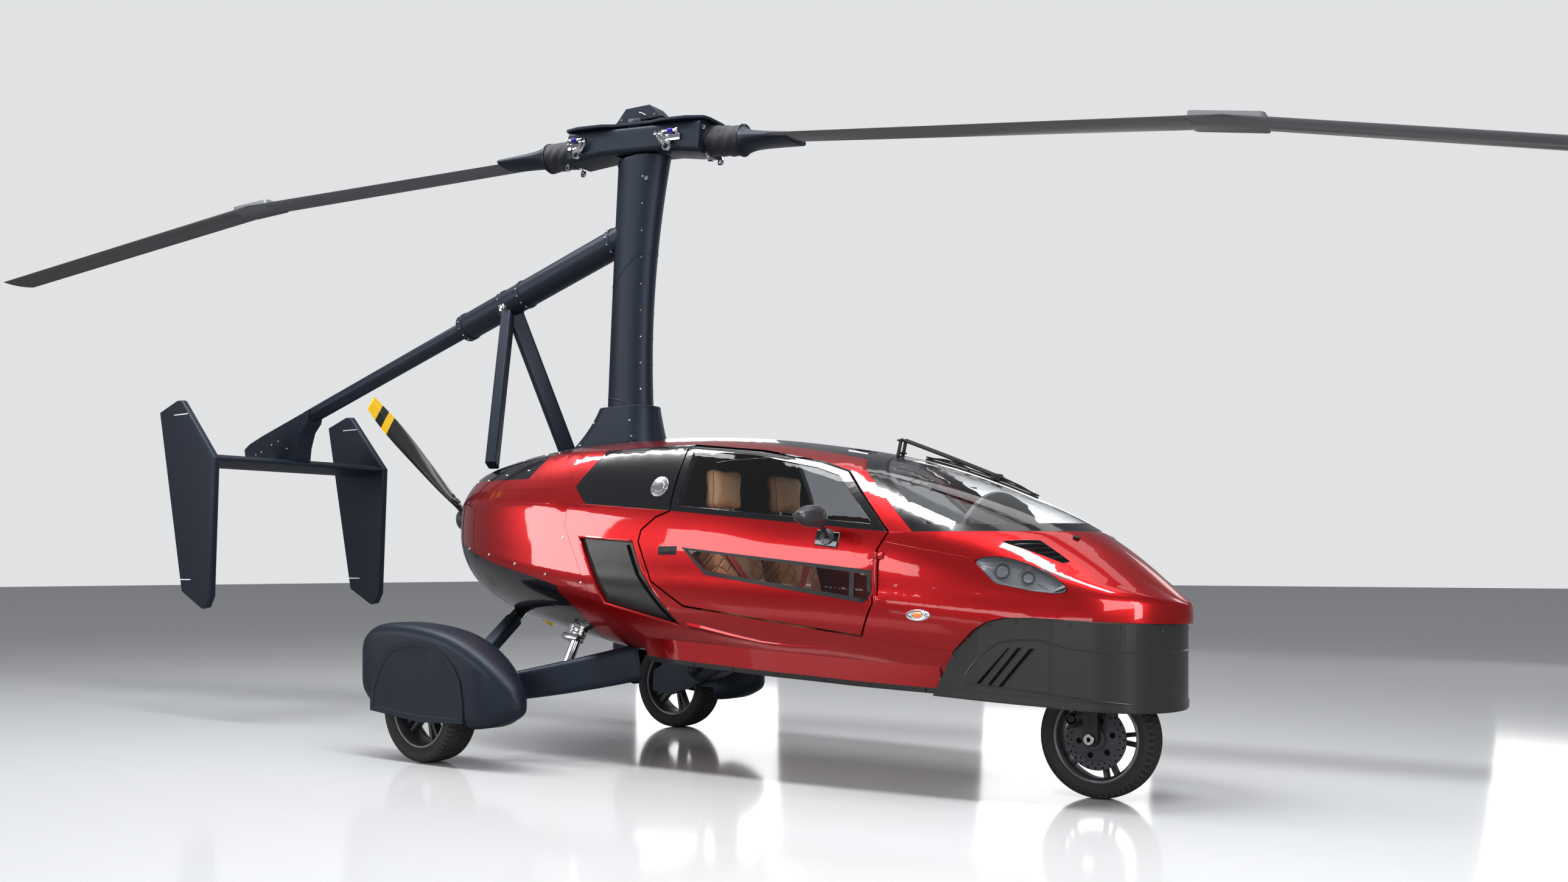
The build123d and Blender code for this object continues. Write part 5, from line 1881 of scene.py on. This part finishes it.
@dataclass
class Rotor(Assembly):
    """Hub, cuffs and blades."""

    body: str = "rotor"
    azimuth: float = 6.0
    lean: float = 4.1
    teeter_z: float = 3.105
    sleeve_start: float = 0.385
    sleeve_end: float = 0.600
    sleeve_radius: float = 0.074
    sleeve_steps: int = 26
    fold_depth: float = 0.0035
    lap: tuple[Point, ...] = ((0.590, 0.073, 0.073), (0.660, 0.088, 0.042), (0.880, 0.096, 0.024))
    hub_width: float = 0.210
    hose: tuple[Point, ...] = ((0.0, -0.004, -0.012), (0.014, -0.010, -0.055), (0.050, -0.004, -0.060))

    def build(self) -> None:
        """Dresses the rotor."""
        Assembly("rotor_spindle").polish("rotor_tower", "steel", BLUE_BLACK, bevel=0.003)
        self.hub()
        self.cuffs()
        for node in ("rotor_blade_front", "rotor_blade_rear"):
            self.polish(node, "blade_grey", BLADE_GREY, sharp=40.0, bevel=0.0)
        self.fittings()

    def rest(self) -> Matrix:
        """Turns the level rotor, its blades along X, into the parked one."""
        lift = Matrix.Translation((0.0, 0.0, self.teeter_z))
        rock = Matrix.Rotation(math.radians(self.lean), 4, "Y")
        return Matrix.Rotation(math.radians(self.azimuth), 4, "Z") @ lift @ rock @ lift.inverted()

    def hub(self) -> None:
        """Builds the hub's cradle, its scalloped top plate and the cheeks of the teeter pin."""
        low, high = 3.094, 3.108
        bm = bmesh.new()
        rings = []
        for x, under in ((-0.400, 2.938), (-0.190, 2.963), (0.190, 2.963), (0.400, 2.938)):
            half = (low - under) / 2
            rings.append([Vector((x, u, under + half + v))
                          for u, v in rounded(self.hub_width / 2, half, 0.026)])
        loft(bm, rings)
        bm = carved(bm, self.slot())
        quarter = ((0.430, 0.060), (0.418, 0.100), (0.330, 0.126), (0.180, 0.126), (0.110, 0.106))
        half_line = list(quarter) + [(-x, y) for x, y in quarter[::-1]]
        line = half_line + [(-x, -y) for x, y in half_line]
        top = bmesh.new()
        plate(top, [Vector((x, y, low)) for x, y in line], UP * (high - low))
        join(bm, carved(top, self.slot()))
        for y in (-0.081, 0.081):
            block(bm, Vector((0.0, y, 3.110)), (0.074, 0.028, 0.040), edge=0.003)
        bmesh.ops.transform(bm, matrix=self.rest(), verts=bm.verts)
        self.add("rotor_hub_shaped", bm, "blue_black", [BLUE_BLACK], ["rotor_hub"], bevel=0.003)

    def slot(self) -> Mesh:
        """The slot that the turning tower passes through."""
        bm = bmesh.new()
        block(bm, Vector((0.0, 0.0, 3.03)), (0.250, 0.134, 0.40))
        return bm

    def cuffs(self) -> None:
        """Builds the cloth sleeves over the blade roots and the lapped ends past them."""
        bm = bmesh.new()
        turns = [math.tau * k / 48 for k in range(48)]
        for turn in (0, 180):
            half = Matrix.Rotation(math.radians(turn), 4, "Z")
            made = bmesh.new()
            rings = []
            for i in range(self.sleeve_steps + 1):
                reach = self.sleeve_start + (self.sleeve_end - self.sleeve_start) * i / self.sleeve_steps
                calm = min(1.0, i / 4, (self.sleeve_steps - i) / 4)
                ring = []
                for a in turns:
                    fold = math.sin(3 * a + 46 * reach) * math.sin(61 * reach + 2.0 * math.cos(a + turn))
                    radius = self.sleeve_radius + self.fold_depth * (fold * calm - 1.0)
                    ring.append(on_blade(reach, radius, radius, a))
                rings.append(ring)
            loft(made, rings, number=1)
            loft(made, [[on_blade(*section, a) for a in turns] for section in eased(self.lap, 6)])
            bmesh.ops.transform(made, matrix=self.rest() @ half, verts=made.verts)
            join(bm, made)
        self.add("rotor_cuffs_shaped", bm, "blue_black", [BLUE_BLACK, CLOTH], ["rotor_cuffs"], sharp=40.0)

    def fittings(self) -> None:
        """Builds the bright links beside the blade roots, the clamps of the sleeves and the cap's hook."""
        bm = bmesh.new()
        bands = bmesh.new()
        for turn in (0, 180):
            half = Matrix.Rotation(math.radians(turn), 4, "Z")
            made = bmesh.new()
            for x, toward in ((0.245, 1.0), (-0.344, -1.0)):
                at = Vector((x, -0.122, 3.043))
                way = Vector((toward, 0.0, 0.0))
                for shift, radius, length, number, edge in (
                        (-0.014, 0.0125, 0.028, 1, 0.002), (0.014, 0.0085, 0.022, 0, 0.001),
                        (0.036, 0.0130, 0.010, 0, 0.002), (-0.050, 0.0080, 0.036, 0, 0.0)):
                    drum(made, at + way * shift, way, radius, length, number=number, edge=edge)
                block(made, at + Vector((toward * 0.006, 0.008, -0.030)), (0.092, 0.006, 0.034), UP,
                      Vector((toward, 0.0, -0.18)), 0, 0.002)
                for shift in (-0.050, -0.075):
                    drum(made, at + Vector((toward * shift, -0.006, -0.012)), -ACROSS, 0.012,
                         0.016, 0.010, 6, edge=0.001)
                    hose = [at + Vector((toward * (shift + x), y, z)) for x, y, z in self.hose]
                    strand(made, hose, 0.0085, smooth=True)
                lathe(made, [(-0.006, 0.017), (0.006, 0.017), (0.006, 0.026), (-0.006, 0.026)],
                      at + Vector((toward * -0.018, -0.002, -0.070)), Vector((0.2, 1.0, 0.0)), 24)
            for y in (-0.062, 0.062):
                lathe(made, [(-0.005, 0.010), (0.005, 0.010), (0.005, 0.019), (-0.005, 0.019)],
                      Vector((0.425, y, 2.925)), Vector((0.4, 1.0, 0.0)), 20)
                block(made, Vector((0.392, y, 3.060)), (0.030, 0.022, 0.024), UP, FORWARD, 0, 0.005)
            bmesh.ops.transform(made, matrix=self.rest() @ half, verts=made.verts)
            join(bm, made)
            for reach in (0.418, 0.592):
                lathe(bands, [(-0.004, 0.0735), (0.004, 0.0735), (0.003, 0.0765), (-0.003, 0.0765)],
                      self.rest() @ half @ Vector((reach, 0.0, blade_height(reach))),
                      (self.rest() @ half).to_3x3() @ Vector((1.0, 0.0, -BLADE_FALL)), 48)
        self.add("root_links", bm, "steel", [CHROME, PURPLE])
        self.add("sleeve_bands", bands, "blue_black", [SATIN_BLACK])
        hook = bmesh.new()
        ring = [Vector((0.030, -0.0575, 3.157)) + Vector((0.018 * math.cos(a), -0.012 * math.sin(a),
                                                          -0.010 * math.cos(a)))
                for a in (0.0, 0.7, 1.4, 2.1, 2.8, 3.14)]
        strand(hook, ring, 0.0040, smooth=True)
        for side in SIDES:
            for x in (-0.100, 0.100):
                screw(hook, Vector((x, side * 0.0580, 3.147)), ACROSS * side, 0.0050)
        turned = Matrix.Rotation(math.radians(self.azimuth), 4, "Z")
        bmesh.ops.transform(hook, matrix=turned, verts=hook.verts)
        Assembly("rotor_spindle").add("cap_hook", hook, "steel", [CHROME])


@dataclass
class Tail(Assembly):
    """Sliding boom and tail surfaces."""

    body: str = "tail_boom"
    fin_y: float = 0.5985
    fin_half: float = 0.022
    # Painted light: thin white strips where light shows through the gaps at the top and bottom of each
    # rudder.
    slot_lights: tuple[Point, ...] = ((-3.225, -3.078, 1.826), (-3.160, -3.050, 0.840))     # from x, to x, z

    def build(self) -> None:
        """Dresses the tail."""
        for node in ("boom_inner", "tail_post", "tailplane", "fins"):
            self.polish(node, "blue_black", BLUE_BLACK, bevel=0.002)
        bm = bmesh.new()
        # thin white strips on both faces of each fin, painted light for the rudder gaps
        for y in (-self.fin_y, self.fin_y):
            for side in SIDES:
                for start, end, z in self.slot_lights:
                    at = Vector(((start + end) / 2, y + side * (self.fin_half + 0.0002), z))
                    block(bm, at, (end - start, 0.0012, 0.006))
        self.add("fin_slot_lights", bm, "blade_grey", [SLOT_LIGHT])
        bm = bmesh.new()
        post = Skin("tail_post", "tailplane")
        for side in SIDES:
            for x, z in ((-3.02, 1.700), (-3.09, 1.682), (-3.20, 1.640), (-3.26, 1.626), (-2.93, 1.650)):
                screw(bm, *post.flank(x, z, side), radius=0.0060)
        self.add("tail_screws", bm, "steel", [STEEL])


@dataclass
class Propeller(Assembly):
    """Pusher propeller."""

    body: str = "propeller"
    slope: float = 41.5
    root: float = 0.150

    def build(self) -> None:
        """Dresses the propeller."""
        low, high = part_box("prop_hub")
        hub = tuple((low + high) / 2)
        blade = Tipped("prop_black", (0.012, 0.012, 0.013), roughness=0.3, coat=0.6, hub=hub, flat=False,
                       bands=((0.815, 9.0), (0.72, 0.765)))
        self.polish("prop_hub", "black_paint", DARK_ALLOY)
        self.polish("prop_blades", "black_paint", blade, bevel=0.0)
        bm = bmesh.new()
        skin = Skin("prop_blades")
        for side in SIDES:
            turn = math.radians(self.slope)
            away = Vector((0.0, side * math.cos(turn), -side * math.sin(turn)))
            centre = Vector(hub) + away * self.root
            at, out = skin.hit(centre + FORWARD * 0.3, -FORWARD)
            drum(bm, at - out * 0.004, out, 0.024, 0.009, 0.022, 24, edge=0.002, along=away)
            for way in spokes(out, 4, 45.0, away):
                lobe = at + way * 0.032
                drum(bm, lobe - out * 0.004, out, 0.0135, 0.009, 0.012, 20, edge=0.002)
                screw(bm, lobe + out * 0.004, out, 0.0068, 1)
        for way in spokes(FORWARD, 6, 0.0, ACROSS):
            screw(bm, Vector(hub) + way * 0.040 - FORWARD * 0.045, -FORWARD, 0.0080, 1)
        self.add("prop_root_plates", bm, "engine_metal", [DARK_ALLOY, STEEL])


@dataclass
class Wheel(Assembly):
    """A tyre and its rim."""

    tyre: str = "front_tyre"
    rim: str = "front_rim"
    hub: Point = (2.420, 0.0, 0.242)
    radius: float = 0.242
    half: float = 0.059
    rim_radius: float = 0.180
    blocks: int = 56

    def build(self) -> None:
        """Builds the treaded tyre and dresses the rim."""
        self.tread()
        self.polish(self.rim, "dark_alloy", DARK_ALLOY, bevel=0.003)
        self.rim_trim()

    def tread(self) -> None:
        """Turns the tyre and cuts its grooves."""
        half, top, low = self.half, self.radius, self.rim_radius
        side = [(0.80, low - 0.002), (0.92, low + 0.010), (0.985, low + 0.026), (1.0, top - 0.036),
                (0.965, top - 0.022), (0.90, top - 0.011), (0.84, top - 0.0065), (0.56, top - 0.0018)]
        grooves = [(0.54, top - 0.0075), (0.48, top - 0.0075), (0.46, top - 0.0014), (0.16, top),
                   (0.14, top - 0.0065), (0.07, top - 0.0065), (0.05, top)]
        right = [(y * half, radius) for y, radius in side + grooves]
        profile = right + [(-y, radius) for y, radius in right[::-1]] + [(-0.5 * half, low - 0.006),
                                                                       (0.5 * half, low - 0.006)]
        bm = bmesh.new()
        centre, axis = Vector(self.hub), ACROSS
        lathe(bm, profile, centre, axis, self.blocks * 2)
        bm.normal_update()
        cuts = []
        for face in bm.faces:
            place = face.calc_center_median() - centre
            across = abs(place.y) / half
            around = math.atan2(place.x, place.z) / math.tau * self.blocks
            depth = math.hypot(place.x, place.z)
            slot = (around + across * 0.8) % 1.0 < 0.5
            if slot and depth > top - 0.020 and (0.58 < across < 0.955 or 0.18 < across < 0.45):
                cuts.append(face)
        bmesh.ops.inset_individual(bm, faces=cuts, thickness=0.0022, depth=-0.0040, use_even_offset=True)
        self.add(f"{self.tyre}_treaded", bm, "tyre_rubber", [RUBBER], [self.tyre], sharp=28.0)

    def rim_trim(self) -> None:
        """Adds the rim's rolled lips."""
        bm = bmesh.new()
        centre, axis = Vector(self.hub), ACROSS
        section = ((0.0, -0.012), (0.004, -0.008), (0.004, -0.003), (0.0, 0.001), (-0.010, -0.001),
                   (-0.010, -0.012))     # out from the tyre's bead, up from the rim
        for side in SIDES:
            lathe(bm, [(side * (self.half * 0.80 + along), self.rim_radius + rise)
                       for along, rise in section], centre, axis, 96)
        self.add(f"{self.rim}_lips", bm, "dark_alloy", [RIM_GREY], sharp=50.0)


@dataclass
class Fork(Assembly):
    """Steered front fork with its brake."""

    body: str = "front_fork"
    axle: Point = (2.420, 0.0, 0.242)
    disc_y: float = -0.045
    disc_half: float = 0.0030
    holes: tuple[tuple[float, int, float, float], ...] = (      # ring; count; radius; angle of the first
        (0.119, 24, 0.0042, 0.0), (0.103, 24, 0.0036, 7.5), (0.072, 6, 0.0120, 12.0))

    def build(self) -> None:
        """Dresses the fork, its axle and the brake."""
        self.polish("front_fork", "black_paint", SATIN_BLACK, bevel=0.004)
        self.polish("front_axle", "steel", STEEL, bevel=0.002)
        self.caliper()
        self.disc()

    def caliper(self) -> None:
        """Builds the caliper with its two pistons, its body and its bracket."""
        bm = bmesh.new()
        axle = Vector(self.axle) + ACROSS * self.disc_y
        for degrees in (118.0, 142.0):
            spot = axle + spokes(-ACROSS, 1, degrees, FORWARD)[0] * 0.118
            drum(bm, spot - ACROSS * 0.026, ACROSS, 0.026, 0.018, edge=0.003)
            drum(bm, spot - ACROSS * 0.030, ACROSS, 0.016, 0.006, edge=0.002)
        away = spokes(-ACROSS, 1, 130.0, FORWARD)[0]
        block(bm, axle + away * 0.112 - ACROSS * 0.018, (0.105, 0.050, 0.016), -ACROSS,
              Vector((away.z, 0.0, -away.x)), 0, 0.006)
        block(bm, axle + Vector((-0.040, -0.030, 0.085)), (0.060, 0.024, 0.030), -ACROSS, FORWARD, 0, 0.006)
        self.add("brake_caliper", bm, "black_paint", [SATIN_BLACK])

    def disc(self) -> None:
        """Adds the disc's holes as dark drums of painted shade, its bolts and its swept ring, which turn with
        the wheel.
        """
        bm = bmesh.new()
        for side in SIDES:
            out = ACROSS * side
            face = self.disc_y + side * self.disc_half
            centre = Vector((self.axle[0], face, self.axle[2]))
            # the holes are dark drums of painted shade, sunk a little into each face of the disc
            for sink, height, rings in ((0.002, 0.0024, self.holes), (0.0, 0.0016, self.holes[:2])):
                for reach, count, radius, first in rings:
                    for way in spokes(-ACROSS, count, first, FORWARD):
                        drum(bm, centre + way * reach - out * sink, out, radius, height, sides=14)
            for way in spokes(-ACROSS, 5, 20.0, FORWARD):
                screw(bm, centre + way * 0.034, out, 0.0065, 1)
            swept = ((-0.001, 0.094), (0.0012, 0.095), (0.0012, 0.127), (-0.001, 0.128))
            lathe(bm, [(side * along, radius) for along, radius in swept], centre, ACROSS, 72, 2)
        Assembly("front_wheel").add("brake_disc_holes", bm, "dark_alloy", [SHADOW, BRASS, DARK_ALLOY])


@dataclass
class Studio:
    """Floor, lights and camera."""

    eye: Point = (4.684, -5.204, 0.919)
    looking: Point = (-0.592, 0.806, 0.0)
    focal_px: float = 2291.8
    picture_px: tuple[int, int] = (2576, 1449)
    horizon_px: float = 930.3
    floor_half: float = 60.0
    boxes: tuple[tuple[str, Point, Point, Pair, float], ...] = (      # name; place; target; size; watts
        ("overhead", (0.5, 1.5, 7.5), (0.5, 0.0, 0.0), (12.0, 4.0), 260.0),
        ("front", (9.0, -5.0, 3.4), (1.0, 0.0, 0.9), (4.0, 2.6), 190.0),
        ("side", (-3.0, -9.5, 3.6), (0.3, 0.0, 0.8), (7.0, 1.8), 210.0),
        ("low", (3.0, -9.0, 1.0), (0.6, 0.0, 0.7), (9.0, 0.5), 60.0),
        ("streak_front", (11.0, -3.0, 3.2), (0.0, 0.0, 1.6), (1.3, 4.5), 170.0),
        ("streak_rear", (-8.0, -7.5, 3.2), (0.0, 0.0, 1.6), (1.3, 4.5), 150.0))

    def camera(self) -> None:
        """Stands the camera where the photograph was taken."""
        width, height = self.picture_px
        data = bpy.data.cameras.new("camera")
        data.sensor_width = 36.0
        data.lens = self.focal_px / width * data.sensor_width
        data.shift_y = (self.horizon_px - height / 2) / width
        data.clip_end = 400.0
        eye = bpy.data.objects.new("camera", data)
        eye.location = self.eye
        eye.rotation_euler = Vector(self.looking).to_track_quat("-Z", "Y").to_euler()
        bpy.context.scene.collection.objects.link(eye)
        bpy.context.scene.camera = eye

    def floor(self) -> None:
        """Lays the pale floor, darker in what reflects it."""
        bm = bmesh.new()
        bmesh.ops.create_grid(bm, x_segments=1, y_segments=1, size=self.floor_half)
        piece = stood(bm, "floor")
        made = Finish("floor_resin", (0.72, 0.73, 0.74), roughness=0.10, spread=0.0, specular=0.4,
                      cloud=0.004).material()
        tree, colour = Tree(made.node_tree), made.node_tree.nodes["Principled BSDF"].inputs["Base Color"]
        glossy = tree.add("LightPath").outputs["Is Glossy Ray"]
        tree.link(tree.mixed(glossy, colour.links[0].from_socket, (0.30, 0.30, 0.31)), colour)
        piece.data.materials.append(made)

    def light(self, name: str, at: Point, towards: Point, size: Pair, power: float) -> None:
        """Adds one soft box.

        Args:
            name: the lamp's name.
            at: where it hangs.
            towards: the point that it faces.
            size: its width and height.
            power: in watts.
        """
        data = bpy.data.lights.new(name, "AREA")
        data.shape = "RECTANGLE"
        data.size, data.size_y = size
        data.energy = power
        lamp = bpy.data.objects.new(name, data)
        lamp.location = at
        lamp.rotation_euler = (Vector(towards) - Vector(at)).to_track_quat("-Z", "Y").to_euler()
        lamp.visible_camera = False
        bpy.context.scene.collection.objects.link(lamp)

    def build(self) -> None:
        """Sets the stage."""
        view = bpy.context.scene.view_settings
        view.view_transform = "Standard"
        view.gamma = 0.88
        self.camera()
        self.floor()
        self.surroundings()
        for x in (-3.6, 0.4, 4.4):
            self.light(f"ceiling_{x:.0f}", (x, -1.6, 6.2), (x, -0.6, 0.0), (3.2, 0.7), 210.0)
        for box in self.boxes:
            self.light(*box)
        for x in (-7.0, -2.0, 3.0):
            self.light(f"window_{x:.0f}", (x, 9.0, 3.2), (0.5, 0.0, 1.0), (1.9, 5.0), 50.0)

    def surroundings(self) -> None:
        """Gives the view a pale backdrop and the reflections a dimmer one."""
        world = bpy.data.worlds.new("studio")
        world.use_nodes = True
        tree = Tree(world.node_tree)
        seen = tree.add("Background", Color=(0.82, 0.83, 0.84), Strength=0.95)
        reflected = tree.fill(world.node_tree.nodes["Background"], {0: (0.84, 0.86, 0.90), 1: 0.30})
        camera = tree.add("LightPath").outputs["Is Camera Ray"]
        both = tree.fill(tree.add("MixShader"), {0: camera, 1: reflected.outputs[0], 2: seen.outputs[0]})
        tree.link(both.outputs[0], world.node_tree.nodes["World Output"].inputs["Surface"])
        bpy.context.scene.world = world


def main() -> None:
    """Builds the sub-assemblies in order."""
    logging.basicConfig(level=logging.INFO, format="%(message)s")
    Studio().build()
    Shell().build()
    Skirt().build()
    Wiper().build()
    for side in SIDES:
        Door("", side).build()
    Cabin().build()
    Airframe().build()
    Rotor().build()
    Tail().build()
    Propeller().build()
    Fork().build()
    Wheel("front_wheel").build()
    for side, name in SIDES.items():
        hub = (-0.545, side * 0.8975, 0.255)
        Wheel(f"rear_wheel_{name}", f"rear_tyre_{name}", f"rear_rim_{name}", hub, 0.255, 0.0825, 0.185,
              60).build()


if __name__ == "__main__":
    main()
